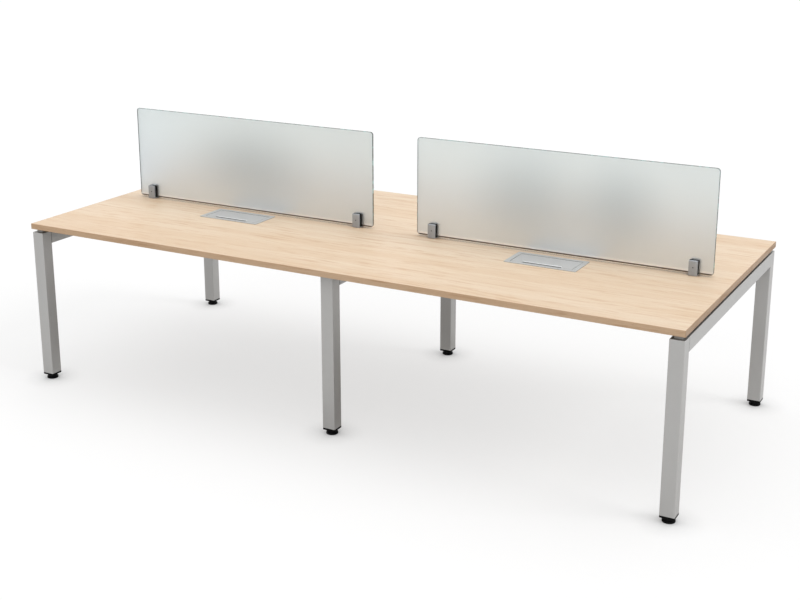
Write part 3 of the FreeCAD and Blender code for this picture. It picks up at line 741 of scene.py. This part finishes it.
@dataclass(frozen=True)
class EtchedGlass:
    """The etched faces of the screens, with painted light: shade that darkens them towards the bottom, soft
    grey patches of shade, a darker line along the outline, a dark shadow along the lower edge and a pale
    highlight just above it.

    The fades are distances: from the outline for the darker line, and from the lower edge for the shadow
    and the highlight above it.
    """

    name: str
    clear: Colour
    low: Colour
    cloud_shade: Colour
    rim: Colour
    sill: Colour
    rough: float
    levels: tuple[float, float]
    cloud_shades: tuple[ShadeCloud, ...]
    rim_fade: tuple[float, float] = (0.0016, 0.0040)
    sill_fade: tuple[float, float] = (0.0036, 0.0072)
    highlight_fade: tuple[float, float] = (0.0060, 0.0180)
    spread: float = 0.04
    bend: float = 1.5
    grain: float = 1400.0
    depth: float = 0.00002

    def material(self, effects: Effects) -> bpy.types.Material:
        """Build the material.

        Args:
            effects: the shared shader groups.

        Returns:
            The finished material.
        """
        paint = Paint(self.name)
        net = paint.net
        parts = net.apart(paint.place)
        # Painted shade: the sheet turns from the low colour to the clear one between the two levels, darker
        # towards the bottom.
        tone = net.blend(net.ramp(parts["Z"], *self.levels), self.low, self.clear)
        for cloud_shade in self.cloud_shades:
            # Painted shade: soft grey patches darken the sheet.
            tone = net.blend(cloud_shade.mask(net, parts), tone, self.cloud_shade, "MULTIPLY")
        # Painted shade: a darker line just inside the outline, where the polished edge shows dark.
        tone = net.blend(net.fade(self._inside(net, parts), *self.rim_fade), tone, self.rim, "MULTIPLY")
        above = net.calc("SUBTRACT", parts["Z"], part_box("screen_right")[0].z)
        # Painted highlight: a pale line just above the lower edge.
        tone = net.blend(net.fade(above, *self.highlight_fade), tone, WHITE)
        # Painted shadow: a dark band along the lower edge, for the shaded gap under the sheet.
        tone = net.blend(net.fade(above, *self.sill_fade), tone, self.sill)
        height = effects.speckle.use(net, Vector=paint.place, Scale=self.grain)["Height"]
        rough = net.ramp(height, *NOISE_RANGE, self.rough - self.spread, self.rough + self.spread)
        paint.set(Base_Color=tone, Transmission_Weight=1.0, IOR=self.bend, Roughness=rough)
        paint.bump(height, self.depth)
        return paint.material

    def _inside(self, net: Net, parts: Sockets) -> Socket:
        """Measure how far inside a sheet's round-cornered outline a point is.

        Args:
            net: the material's net.
            parts: the point's X, Y and Z.

        Returns:
            The distance from the outline, up to the corners' radius.
        """
        low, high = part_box("screen_right")
        spares = []
        for place, axis in ((net.calc("ABSOLUTE", parts["X"]), 0), (parts["Z"], 2)):
            middle, half = (low[axis] + high[axis]) / 2, (high[axis] - low[axis]) / 2
            away = net.calc("ABSOLUTE", net.calc("SUBTRACT", place, middle))
            spare = net.calc("MAXIMUM", net.calc("SUBTRACT", away, half - SCREEN_CORNER), 0.0)
            spares.append(net.calc("MULTIPLY", spare, spare))
        return net.calc("SUBTRACT", SCREEN_CORNER, net.calc("SQRT", net.calc("ADD", *spares)))


@dataclass(frozen=True)
class PolishedEdge:
    """The greenish ground and polished edge of the glass, with painted glints in patches."""

    name: str
    tone: Colour
    painted_glint: Colour
    patches: float = 45.0
    patch_range: tuple[float, float] = (0.48, 0.66)
    rough: tuple[float, float] = (0.1, 0.22)
    coat: float = 0.6
    coat_rough: float = 0.05

    def material(self, effects: Effects) -> bpy.types.Material:
        """Build the material.

        Args:
            effects: the shared shader groups, none of which it needs.

        Returns:
            The finished material.
        """
        paint = Paint(self.name)
        net = paint.net
        broken = net.ramp(net.noise(paint.place, self.patches, detail=3.0), *self.patch_range)
        # Painted highlight: patches of the edge turn to the glint colour.
        paint.set(Base_Color=net.blend(broken, self.tone, self.painted_glint),
                  Roughness=net.ramp(broken, 0.0, 1.0, *self.rough),
                  Coat_Weight=self.coat, Coat_Roughness=self.coat_rough)
        return paint.material


FINISHES: dict[Slot, Finish] = {
    Slot.WOOD_TOP: WoodEffect("pale_wood", light=shade(240, 219, 193), warm=shade(232, 205, 174),
                              streak=shade(214, 177, 140), pore=shade(186, 146, 110)),
    Slot.WOOD_EDGE: WoodEffect("pale_wood_band", light=shade(221, 189, 156), warm=shade(211, 175, 139),
                               streak=shade(188, 147, 110), pore=shade(164, 124, 90), end_band=1.4985),
    # The frame and the ports carry painted shade in their corners and seams.
    Slot.FRAME: Coat("silver_powder_coat", shade(195, 194, 192), 0.36, metal=0.5, drift=0.06,
                     shade_depth=0.75),
    Slot.SPACER: Coat("silver_spacer_coat", shade(172, 169, 165), 0.5, metal=0.2),
    Slot.TRAY: Coat("grey_tray_coat", shade(176, 177, 178), 0.5, metal=0.1),
    Slot.STEEL: BrushedMetal("zinc_plate", shade(196, 196, 192), 0.34),
    Slot.CLIP: BrushedMetal("satin_aluminium", shade(163, 166, 170), 0.38, lines=(2600.0, 2600.0, 70.0),
                            metal=0.4),
    Slot.LINER: Coat("black_rubber", shade(9, 9, 10), 0.75, grain=1500.0, gloss=0.2),
    Slot.SCREW: BrushedMetal("blackened_steel", shade(52, 52, 54), 0.4, metal=0.8),
    Slot.PORT: Coat("port_satin_grey", shade(200, 199, 197), 0.38, metal=0.15, grain=1300.0, depth=0.00002,
                    shade_depth=0.95, shade_reach=0.02),
    Slot.FOOT: Coat("black_moulding", shade(4, 4, 5), 0.5, grain=1100.0, gloss=0.1),
    # The glass carries painted shade, a painted shadow along its foot and a painted highlight above that.
    Slot.GLASS: EtchedGlass("etched_glass", clear=shade(229, 236, 236), low=shade(221, 226, 228),
                            cloud_shade=shade(229, 232, 234), rim=shade(224, 231, 230), sill=shade(84, 60, 38),
                            rough=0.55, levels=(0.85, 1.14),
                            cloud_shades=(ShadeCloud((-0.76, 0.955), (0.45, 0.28)), ShadeCloud((0.61, 0.96), (0.35, 0.30)),
                                    ShadeCloud((1.01, 0.965), (0.27, 0.26)))),
}
EDGE_FINISH = PolishedEdge("polished_glass_edge", shade(12, 40, 40), shade(132, 182, 179))
# Painted shade on the underside of the edge, over the gap under the sheet.
UNDERSIDE_FINISH = PolishedEdge("shaded_glass_edge", shade(96, 104, 98), shade(120, 128, 122))
# Painted highlight: the lip behind the cable slot is near white.
LIP_HIGHLIGHT_FINISH = Coat("port_lip", shade(250, 250, 250), 0.3, coat=0.3, grain=1300.0, depth=0.00002)

Library = dict[Slot, bpy.types.Material]


def middle_of(edge: bmesh.types.BMEdge) -> Vector:
    """Return the middle of an edge."""
    return (edge.verts[0].co + edge.verts[1].co) / 2


def runs(edge: bmesh.types.BMEdge, axis: int) -> bool:
    """Say whether an edge is parallel to an axis, 0 to 2."""
    way = (edge.verts[1].co - edge.verts[0].co).normalized()
    return abs(way[axis]) > PARALLEL


def near(value: float, *places: float) -> bool:
    """Say whether a value is at one of some places."""
    return any(abs(value - place) < NEAR for place in places)


def is_sharp(edge: bmesh.types.BMEdge) -> bool:
    """Say whether the faces at an edge meet at an angle that shows."""
    return edge.calc_face_angle(0.0) > SHARP


def looks_up(face: bmesh.types.BMFace) -> bool:
    """Say whether a face looks upwards."""
    return face.normal.z > FACING


class Maker:
    """One mesh piece, modelled with Blender's own tools as by hand."""

    def __init__(self, name: str) -> None:
        """Start a piece with no mesh yet.

        Args:
            name: the piece's name.
        """
        self.name = name
        self.piece: bpy.types.Object | None = None

    def take(self) -> "Maker":
        """Take the primitive that was just added as this piece, with its place put into its mesh.

        Returns:
            This piece.
        """
        self.piece = bpy.context.active_object
        self.piece.name = self.name
        bpy.ops.object.transform_apply(location=True, rotation=True, scale=True)
        return self

    def block(self, corner: Vector, opposite: Vector) -> "Maker":
        """Start from a block.

        Args:
            corner: one corner of the block.
            opposite: the corner opposite to it.

        Returns:
            This piece.
        """
        bpy.ops.object.select_all(action="DESELECT")
        size = [abs(reach) for reach in opposite - corner]
        bpy.ops.mesh.primitive_cube_add(size=1.0, location=(corner + opposite) / 2, scale=size)
        return self.take()

    def rod(self, start: Vector, end: Vector, radius: float, sides: int = 48) -> "Maker":
        """Start from a round or many-sided bar.

        Args:
            start: middle of one end.
            end: middle of the other end.
            radius: the bar's radius, out to its corners.
            sides: how many sides it has.

        Returns:
            This piece.
        """
        bpy.ops.object.select_all(action="DESELECT")
        way = end - start
        turn = way.to_track_quat("Z", "Y").to_euler()
        bpy.ops.mesh.primitive_cylinder_add(vertices=sides, radius=radius, depth=way.length,
                                            location=(start + end) / 2, rotation=turn)
        return self.take()

    def activate(self) -> None:
        """Make this piece the only selected one."""
        bpy.ops.object.select_all(action="DESELECT")
        self.piece.select_set(True)
        bpy.context.view_layer.objects.active = self.piece

    @contextmanager
    def edit(self) -> Iterator[None]:
        """Stay in edit mode while the block of a with statement runs."""
        self.activate()
        bpy.ops.object.mode_set(mode="EDIT")
        yield
        bpy.ops.object.mode_set(mode="OBJECT")

    def pick(self, kind: Pick, test: Callable[[object], bool]) -> None:
        """Select edges or faces, in edit mode.

        Args:
            kind: which of the two.
            test: says whether an edge or face is selected.
        """
        bpy.ops.mesh.select_mode(type=kind.value)
        bpy.ops.mesh.select_all(action="DESELECT")
        shape = bmesh.from_edit_mesh(self.piece.data)
        for item in shape.edges if kind is Pick.EDGES else shape.faces:
            if test(item):
                item.select_set(True)
        bmesh.update_edit_mesh(self.piece.data)

    def bevel(self, test: Callable[[bmesh.types.BMEdge], bool], width: float, steps: int = 2) -> "Maker":
        """Bevel or round edges.

        Args:
            test: says whether an edge is taken.
            width: the bevel's width.
            steps: how many strips it has.

        Returns:
            This piece.
        """
        with self.edit():
            self.pick(Pick.EDGES, test)
            bpy.ops.mesh.bevel(offset=width, segments=steps, profile=0.5, affect="EDGES",
                               clamp_overlap=True)
        return self

    def slice(self, point: Vector, normal: Vector) -> "Maker":
        """Cut the whole mesh by a plane and keep both halves.

        Args:
            point: a point of the plane.
            normal: the plane's normal.

        Returns:
            This piece.
        """
        with self.edit():
            bpy.ops.mesh.select_all(action="SELECT")
            bpy.ops.mesh.bisect(plane_co=point, plane_no=normal)
        return self

    def extrude(self, test: Callable[[bmesh.types.BMFace], bool], offset: Vector,
                inset: float = 0.0) -> "Maker":
        """Inset faces, then pull them out.

        Args:
            test: says whether a face is taken.
            offset: how far and which way it is pulled.
            inset: how far its outline goes in first.

        Returns:
            This piece.
        """
        with self.edit():
            self.pick(Pick.FACES, test)
            if inset:
                bpy.ops.mesh.inset(thickness=inset)
            bpy.ops.mesh.extrude_region_move(TRANSFORM_OT_translate={"value": offset})
        return self

    def combine(self, other: "Maker", how: Combine) -> "Maker":
        """Cut another piece out of this one, or join it on, and remove the other.

        Args:
            other: the other piece.
            how: whether it is cut out or joined on.

        Returns:
            This piece.
        """
        tool = self.piece.modifiers.new("combine", "BOOLEAN")
        tool.operation = how.value
        tool.solver = "EXACT"
        tool.object = other.piece
        self.activate()
        bpy.ops.object.modifier_apply(modifier=tool.name)
        bpy.data.objects.remove(other.piece)
        return self

    def smooth(self, angle: float = 32.0) -> "Maker":
        """Smooth the shading across flat edges.

        Args:
            angle: the largest angle that is smoothed, in degrees.

        Returns:
            This piece.
        """
        self.activate()
        bpy.ops.object.shade_smooth_by_angle(angle=math.radians(angle))
        return self

    def copy(self, name: str, offset: Vector) -> "Maker":
        """Copy this piece, with a mesh of its own, to another place.

        Args:
            name: the copy's name.
            offset: how far the copy moves.

        Returns:
            The copy.
        """
        self.activate()
        bpy.ops.object.duplicate(linked=False)
        twin = Maker(name)
        twin.piece = bpy.context.active_object
        twin.piece.name = name
        twin.piece.location = offset
        bpy.ops.object.transform_apply(location=True, rotation=False, scale=False)
        return twin

    def join(self, others: list["Maker"]) -> "Maker":
        """Join other pieces into this one.

        Args:
            others: the other pieces.

        Returns:
            This piece.
        """
        self.activate()
        for other in others:
            other.piece.select_set(True)
        bpy.ops.object.join()
        return self

    def dress(self, *materials: bpy.types.Material) -> "Maker":
        """Give the piece its materials, in place of any that it has.

        Args:
            materials: the materials in the order of their index.

        Returns:
            This piece.
        """
        self.piece.data.materials.clear()
        for material in materials:
            self.piece.data.materials.append(material)
        return self

    def hand_over(self, body: str, slot: Slot, *nodes: str) -> None:
        """Let the piece ride on a body, in place of CAD nodes.

        Args:
            body: the body that it moves with.
            slot: the record's slot that it takes its finish from; not used.
            nodes: the nodes that it stands for.
        """
        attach(self.piece, body)
        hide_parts(*nodes)
        LOG.info("%s rides on %s", self.name, body)


@dataclass
class Screens:
    """The two glass screens: etched sheets with round corners and polished edges."""

    corner_steps: int = 10
    arris: float = 0.0010
    arris_steps: int = 3
    smooth_angle: float = 50.0
    etched: float = 0.99
    underside: float = -0.5

    def build(self, library: Library, edges: list[bpy.types.Material]) -> None:
        """Model and dress both screens.

        Args:
            library: the finishes by slot.
            edges: the finishes of the polished edge and of its underside.
        """
        for side in Side:
            node = f"screen_{side.value}"
            low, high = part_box(node)
            sheet = Maker(f"glass_{side.value}").block(low, high)
            sheet.bevel(lambda item: runs(item, 1), SCREEN_CORNER, self.corner_steps)
            sheet.bevel(lambda item: is_sharp(item) and near(middle_of(item).y, low.y, high.y), self.arris,
                        self.arris_steps)
            sheet.dress(library[Slot.GLASS], *edges)
            for face in sheet.piece.data.polygons:
                face.material_index = self._finish(face.normal)
            sheet.smooth(self.smooth_angle).hand_over("desk", Slot.GLASS, node)

    def _finish(self, normal: Vector) -> int:
        """Choose the finish of a face.

        Args:
            normal: the face's normal.

        Returns:
            0 for an etched face, 1 for the polished edge, 2 for its underside.
        """
        if abs(normal.y) > self.etched:
            return 0
        return 2 if normal.z < self.underside else 1


@dataclass
class Clips:
    """The four screen clips with their clamping screws."""

    jaw: float = 0.007
    base: float = 0.004
    top_bevel: float = 0.003
    edge: float = 0.0005
    screw_radius: float = 0.0025
    screw_sides: int = 32
    screw_high: float = 0.033
    screw_sunk: float = 0.0006
    socket_radius: float = 0.0015
    socket_sides: int = 6
    play: float = 0.0001

    def build(self, library: Library) -> None:
        """Model one clip and its screw, copy them to all four places, and hand them over.

        Args:
            library: the finishes by slot.
        """
        first, *others = [f"clip_{side.value}_{end.value}" for side in Side for end in End]
        clip, screw = self._clip(first, library), self._screw(first, library)
        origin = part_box(first)[0]
        copies = []
        for node in others:
            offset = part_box(node)[0] - origin
            clip.copy(f"{node}_body", offset).hand_over("desk", Slot.CLIP, node)
            copies.append(screw.copy(f"{node}_screw", offset))
        clip.hand_over("desk", Slot.CLIP, first)
        screw.join(copies).hand_over("desk", Slot.SCREW, "clip_clamp_screws")

    def _screw_line(self, node: str) -> tuple[Vector, Vector]:
        """Find the line of a clip's clamping screw, through its front jaw.

        Args:
            node: the clip's node.

        Returns:
            The outer and the inner end of the line.
        """
        low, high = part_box(node)
        outer = Vector(((low.x + high.x) / 2, low.y, low.z + self.screw_high))
        return outer, outer + Vector((0, self.jaw, 0))

    def _clip(self, node: str, library: Library) -> Maker:
        """Model a clip: a base, two jaws pulled up from it, bevels and the screw's hole.

        Args:
            node: the clip's node.
            library: the finishes by slot.

        Returns:
            The clip.
        """
        low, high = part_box(node)
        clip = Maker(f"{node}_body").block(low, Vector((high.x, high.y, low.z + self.base)))
        front, back = low.y + self.jaw, high.y - self.jaw
        for y in (front, back):
            clip.slice(Vector((0, y, 0)), Vector((0, 1, 0)))
        clip.extrude(lambda face: looks_up(face) and not front < face.calc_center_median().y < back,
                     Vector((0, 0, high.z - low.z - self.base)))
        clip.bevel(lambda item: runs(item, 0) and near(middle_of(item).z, high.z)
                   and near(middle_of(item).y, low.y, high.y), self.top_bevel, 1)
        clip.bevel(is_sharp, self.edge)
        start, end = self._screw_line(node)
        reach = Vector((0, self.jaw, 0))
        drill = Maker("drill").rod(start - reach, end + reach / 2, self.screw_radius + self.play)
        return clip.combine(drill, Combine.CUT).dress(library[Slot.CLIP]).smooth()

    def _screw(self, node: str, library: Library) -> Maker:
        """Model a clamping screw with its six-sided drive hole.

        Args:
            node: the node of the screw's clip.
            library: the finishes by slot.

        Returns:
            The screw.
        """
        start, end = self._screw_line(node)
        sunk = start + Vector((0, self.screw_sunk, 0))
        screw = Maker("clamp_screws").rod(sunk, end, self.screw_radius, self.screw_sides)
        screw.bevel(is_sharp, self.edge / 2)
        drive = Maker("drive").rod(start - Vector((0, self.jaw, 0)), (sunk + end) / 2, self.socket_radius,
                                   self.socket_sides)
        return screw.combine(drive, Combine.CUT).dress(library[Slot.SCREW]).smooth()


@dataclass
class PortLids:
    """The four lids of the cable ports, each with its barrel, cable slot and lip."""

    thick: float = 0.003
    barrel: float = 0.0035
    bore: float = 0.00155
    slot_wide: float = 0.168
    slot_deep: float = 0.010
    slot_corner: float = 0.003
    slot_steps: int = 5
    lip_deep: float = 0.007
    lip_steps: int = 3
    edge: float = 0.0006
    spare: float = 0.010

    def build(self, library: Library, bright: bpy.types.Material) -> None:
        """Model a front and a rear lid, copy each to the other bay, and hand them over.

        Args:
            library: the finishes by slot.
            bright: the finish of the lip, a painted highlight.
        """
        for row in Row:
            nodes = [f"port_lid_{row.value}_{side.value}" for side in Side]
            lid = self._lid(nodes[0], row, (library[Slot.PORT], bright))
            twin = lid.copy(f"{nodes[1]}_plate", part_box(nodes[1])[0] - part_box(nodes[0])[0])
            for maker, node in zip((lid, twin), nodes):
                maker.hand_over(node.removeprefix("port_"), Slot.PORT, node)

    def _lid(self, node: str, row: Row, finishes: tuple[bpy.types.Material, bpy.types.Material]) -> Maker:
        """Model one lid: a plate with a cable slot, a bored barrel at its hinge and a lip behind the slot.

        Args:
            node: the lid's node.
            row: the side of the desk that it is on.
            finishes: the finish of the plate and that of the lip, a painted highlight.

        Returns:
            The lid.
        """
        low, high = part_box(node)
        top = low.z + 2 * self.barrel
        outer, hinge = (low.y, high.y - self.barrel) if row is Row.FRONT else (high.y, low.y + self.barrel)
        notch = outer - row.way * self.slot_deep
        middle, half = (low.x + high.x) / 2, self.slot_wide / 2
        left, right = middle - half, middle + half
        plate = Maker(f"{node}_plate").block(Vector((low.x, outer, top - self.thick)),
                                             Vector((high.x, hinge, top)))
        cutter = Maker("slot").block(Vector((left, notch, low.z - self.spare)),
                                     Vector((right, outer + row.way * self.spare, high.z + self.spare)))
        cutter.bevel(lambda item: runs(item, 2) and near(middle_of(item).y, notch), self.slot_corner,
                     self.slot_steps)
        plate.combine(cutter, Combine.CUT)
        plate.bevel(lambda item: is_sharp(item) and near(middle_of(item).z, top)
                    and not near(middle_of(item).y, hinge), self.edge)
        axis = low.z + self.barrel
        for radius, how, spare in ((self.barrel, Combine.ADD, 0.0), (self.bore, Combine.CUT, self.spare)):
            ends = Vector((low.x - spare, hinge, axis)), Vector((high.x + spare, hinge, axis))
            plate.combine(Maker("barrel").rod(*ends, radius), how)
        lip = Maker("lip").block(Vector((left, notch, top - self.thick / 2)),
                                 Vector((right, notch - row.way * self.lip_deep, high.z)))
        lip.bevel(lambda item: near(middle_of(item).z, high.z), self.edge, self.lip_steps)
        plate.dress(*finishes)
        lip.dress(*finishes)
        # The lip takes the second finish, a painted highlight.
        for face in lip.piece.data.polygons:
            face.material_index = 1
        return plate.combine(lip, Combine.ADD).smooth()


@dataclass
class Feet:
    """The six levelling feet: a stepped moulding and a threaded stem."""

    base_high: float = 0.009
    step_radius: float = 0.020
    step_top: float = 0.0205
    pad_sides: int = 64
    bevel: float = 0.0015
    bevel_steps: int = 3
    stem_radius: float = 0.005
    stem_sides: int = 40
    stem_sunk: float = 0.004
    pitch: float = 0.0015
    thread: float = 0.0007

    def build(self, library: Library) -> None:
        """Model one foot, copy it under the other legs, and hand all of them over, the first one last.

        Args:
            library: the finishes by slot.
        """
        nodes = [f"foot_{row.value}_{stand.value}" for row in Row for stand in Stand]
        pad, stem = self._pad(nodes[0], library), self._stem(nodes[0], library)
        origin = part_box(nodes[0])[0]
        for node in reversed(nodes):
            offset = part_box(node)[0] - origin
            for maker, slot in ((pad, Slot.FOOT), (stem, Slot.STEEL)):
                if node != nodes[0]:
                    maker = maker.copy(maker.name.replace(nodes[0], node), offset)
                maker.hand_over(node, slot, node)

    def _axis(self, node: str) -> Vector:
        """Return the point on the floor under the middle of a foot."""
        low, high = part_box(node)
        return Vector(((low.x + high.x) / 2, (low.y + high.y) / 2, low.z))

    def _pad(self, node: str, library: Library) -> Maker:
        """Model the stepped moulding from a disc.

        Args:
            node: the foot's node.
            library: the finishes by slot.

        Returns:
            The moulding.
        """
        low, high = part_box(node)
        floor, up = self._axis(node), Vector((0, 0, self.base_high))
        radius = (high.x - low.x) / 2
        pad = Maker(f"{node}_pad").rod(floor, floor + up, radius, self.pad_sides)
        pad.extrude(looks_up, Vector((0, 0, self.step_top - self.base_high)), radius - self.step_radius)
        pad.bevel(is_sharp, self.bevel, self.bevel_steps)
        return pad.dress(library[Slot.FOOT]).smooth()

    def _tooth(self, node: str, start: Vector) -> Maker:
        """Model one tooth of the thread: a flank and its mirror image above it.

        Args:
            node: the foot's node.
            start: middle of the tooth's lower end.

        Returns:
            The tooth, open at both ends.
        """
        half = Vector((0, 0, self.pitch / 2))
        bpy.ops.object.select_all(action="DESELECT")
        bpy.ops.mesh.primitive_cone_add(vertices=self.stem_sides, radius1=self.stem_radius - self.thread,
                                        radius2=self.stem_radius, depth=half.z, end_fill_type="NOTHING",
                                        location=start + half / 2)
        tooth = Maker(f"{node}_stem").take()
        with tooth.edit():
            bpy.ops.mesh.select_all(action="SELECT")
            bpy.ops.mesh.duplicate()
            bpy.ops.transform.resize(value=(1, 1, -1), center_override=start + half)
            bpy.ops.mesh.select_all(action="SELECT")
            bpy.ops.mesh.remove_doubles(threshold=NEAR)
        return tooth

    def _stem(self, node: str, library: Library) -> Maker:
        """Model the threaded stem: a tooth of the thread, repeated up the stem and closed at its ends.

        Args:
            node: the foot's node.
            library: the finishes by slot.

        Returns:
            The stem.
        """
        start = self._axis(node) + Vector((0, 0, self.step_top - self.stem_sunk))
        stem = self._tooth(node, start)
        teeth = stem.piece.modifiers.new("teeth", "ARRAY")
        teeth.use_relative_offset = False
        teeth.use_constant_offset = True
        teeth.constant_offset_displace = (0, 0, self.pitch)
        teeth.count = int((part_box(node)[1].z - start.z) / self.pitch)
        teeth.use_merge_vertices = True
        teeth.merge_threshold = NEAR
        stem.activate()
        bpy.ops.object.modifier_apply(modifier=teeth.name)
        with stem.edit():
            bpy.ops.mesh.select_all(action="SELECT")
            bpy.ops.mesh.fill_holes(sides=0)
            bpy.ops.mesh.select_all(action="SELECT")
            bpy.ops.mesh.normals_make_consistent(inside=False)
        return stem.dress(library[Slot.STEEL]).smooth()


class CarriedNodes:
    """The solids that keep their own shape and only take a finish."""

    def dress(self, library: Library) -> None:
        """Give every node that still shows the finish of its slot.

        Args:
            library: the finishes by slot.
        """
        for part in frame["record"]["subparts"]:
            node = frame["nodes"][part["node"]]
            if node.hide_render:
                continue
            for holder in node.material_slots:
                holder.material = library[Slot(part["material_slot"])]
            LOG.info("%s takes %s", part["node"], part["material_slot"])


@dataclass(frozen=True)
class Lamp:
    """A far soft lamp: where its light comes from, its strength and how wide it looks, in degrees."""

    name: str
    comes_from: tuple[float, float, float]
    strength: float
    softness: float


LAMPS = (
    Lamp("overhead", (-0.10, 0.10, 1.0), 1.00, 80.0),
    Lamp("from_the_right", (0.80, 0.10, 0.58), 1.00, 30.0),
    Lamp("from_the_front", (0.20, -0.90, 0.38), 0.63, 45.0),
)


@dataclass
class Studio:
    """Camera, soft lamps and a white sweep of floor."""

    camera_place: tuple[float, float, float] = (2.6707, -4.8292, 2.2370)
    azimuth: float = 28.682
    elevation: float = 15.519
    focal_px: float = 1308.3
    horizon_px: float = 240.0
    image: tuple[int, int] = (800, 600)
    sensor: float = 36.0
    floor_side: float = 60.0
    floor_white: float = 0.40
    floor_glow: float = 0.61
    floor_bounce: float = 0.42
    floor_mirrored: float = 0.85
    contact_shadow_reach: float = 0.12
    sky: float = 0.45

    def build(self) -> None:
        """Set up the camera, the lamps, the world and the floor."""
        scene = bpy.context.scene
        scene.view_settings.view_transform = "Standard"
        scene.camera = self._camera()
        self._lamps()
        self._world(scene)
        self._floor()

    def _camera(self) -> bpy.types.Object:
        """Set up a camera at the photograph's viewing angle.

        Returns:
            The camera.
        """
        data = bpy.data.cameras.new("camera")
        wide, high = self.image
        data.sensor_width = self.sensor
        data.lens = self.focal_px * self.sensor / wide
        data.shift_y = (self.horizon_px - high / 2) / wide
        camera = bpy.data.objects.new("camera", data)
        bpy.context.scene.collection.objects.link(camera)
        around, above = math.radians(self.azimuth), math.radians(self.elevation)
        right = Vector((math.cos(around), math.sin(around), 0))
        level = math.cos(above)
        back = Vector((math.sin(around) * level, -math.cos(around) * level, math.sin(above)))
        turn = Matrix((right, back.cross(right), back)).transposed().to_4x4()
        camera.matrix_world = Matrix.Translation(self.camera_place) @ turn
        return camera

    def _lamps(self) -> None:
        """Set up the soft lamps, so far away that they light everything evenly."""
        for lamp in LAMPS:
            data = bpy.data.lights.new(lamp.name, "SUN")
            data.energy = lamp.strength
            data.angle = math.radians(lamp.softness)
            place = bpy.data.objects.new(lamp.name, data)
            place.rotation_euler = Vector(lamp.comes_from).to_track_quat("Z", "Y").to_euler()
            bpy.context.scene.collection.objects.link(place)

    def _seen(self, net: Net, *others: str) -> Socket:
        """Tell rays from the camera, and other kinds that are named, from the rest.

        Args:
            net: the net of the material or world.
            others: the other kinds of ray.

        Returns:
            1 for those rays, else 0.
        """
        path = net.add("LightPath")
        seen = path.outputs["Is Camera Ray"]
        for name in others:
            seen = net.calc("MAXIMUM", seen, path.outputs[f"Is {name} Ray"])
        return seen

    def _world(self, scene: bpy.types.Scene) -> None:
        """Make a world that looks white and lights the desk at a plain level.

        Args:
            scene: the scene that it is for.
        """
        scene.world = bpy.data.worlds.new("studio")
        scene.world.use_nodes = True
        net = Net(scene.world.node_tree)
        light = scene.world.node_tree.nodes["Background"]
        light.inputs["Color"].default_value = WHITE
        share = net.add("MapRange")
        net.feed(share.inputs["Value"], self._seen(net, "Glossy", "Transmission"))
        share.inputs["To Min"].default_value = self.sky
        net.feed(light.inputs["Strength"], share.outputs[0])

    def _floor(self) -> None:
        """Lay a floor that looks white and still takes the desk's soft shadow, with painted shadow where
        things stand close to it.
        """
        bpy.ops.object.select_all(action="DESELECT")
        bpy.ops.mesh.primitive_plane_add(size=self.floor_side)
        floor = bpy.context.active_object
        floor.name = "floor"
        material = bpy.data.materials.new("white_floor")
        material.use_nodes = True
        net = Net(material.node_tree)
        material.node_tree.nodes.remove(material.node_tree.nodes["Principled BSDF"])
        plain = net.add("BsdfDiffuse")
        mirrored = net.add("LightPath").outputs["Is Glossy Ray"]
        net.feed(plain.inputs["Color"],
                 net.blend(mirrored, grey(self.floor_bounce), grey(self.floor_mirrored)))
        pale = net.add("BsdfDiffuse")
        pale.inputs["Color"].default_value = grey(self.floor_white)
        glow = net.add("Emission")
        # Painted shadow: the glow dims where something stands close to the floor.
        net.feed(glow.inputs["Strength"], net.calc("MULTIPLY", net.openness(self.contact_shadow_reach), self.floor_glow))
        white = net.add("AddShader")
        choice = net.add("MixShader")
        for target, source in ((white.inputs[0], pale), (white.inputs[1], glow), (choice.inputs[1], plain),
                               (choice.inputs[2], white)):
            net.feed(target, source.outputs[0])
        net.feed(choice.inputs[0], self._seen(net, "Transmission"))
        net.feed(material.node_tree.nodes["Material Output"].inputs["Surface"], choice.outputs[0])
        floor.data.materials.append(material)


def main() -> None:
    """Build the studio, the finishes and every piece."""
    logging.basicConfig(level=logging.INFO)
    Studio().build()
    effects = Effects(make_drift(), make_speckle(), make_brush(), StraightGrain().group())
    library: Library = {slot: finish.material(effects) for slot, finish in FINISHES.items()}
    edges = [finish.material(effects) for finish in (EDGE_FINISH, UNDERSIDE_FINISH)]
    Screens().build(library, edges)
    Clips().build(library)
    PortLids().build(library, LIP_HIGHLIGHT_FINISH.material(effects))
    Feet().build(library)
    CarriedNodes().dress(library)


if __name__ == "__main__":
    main()
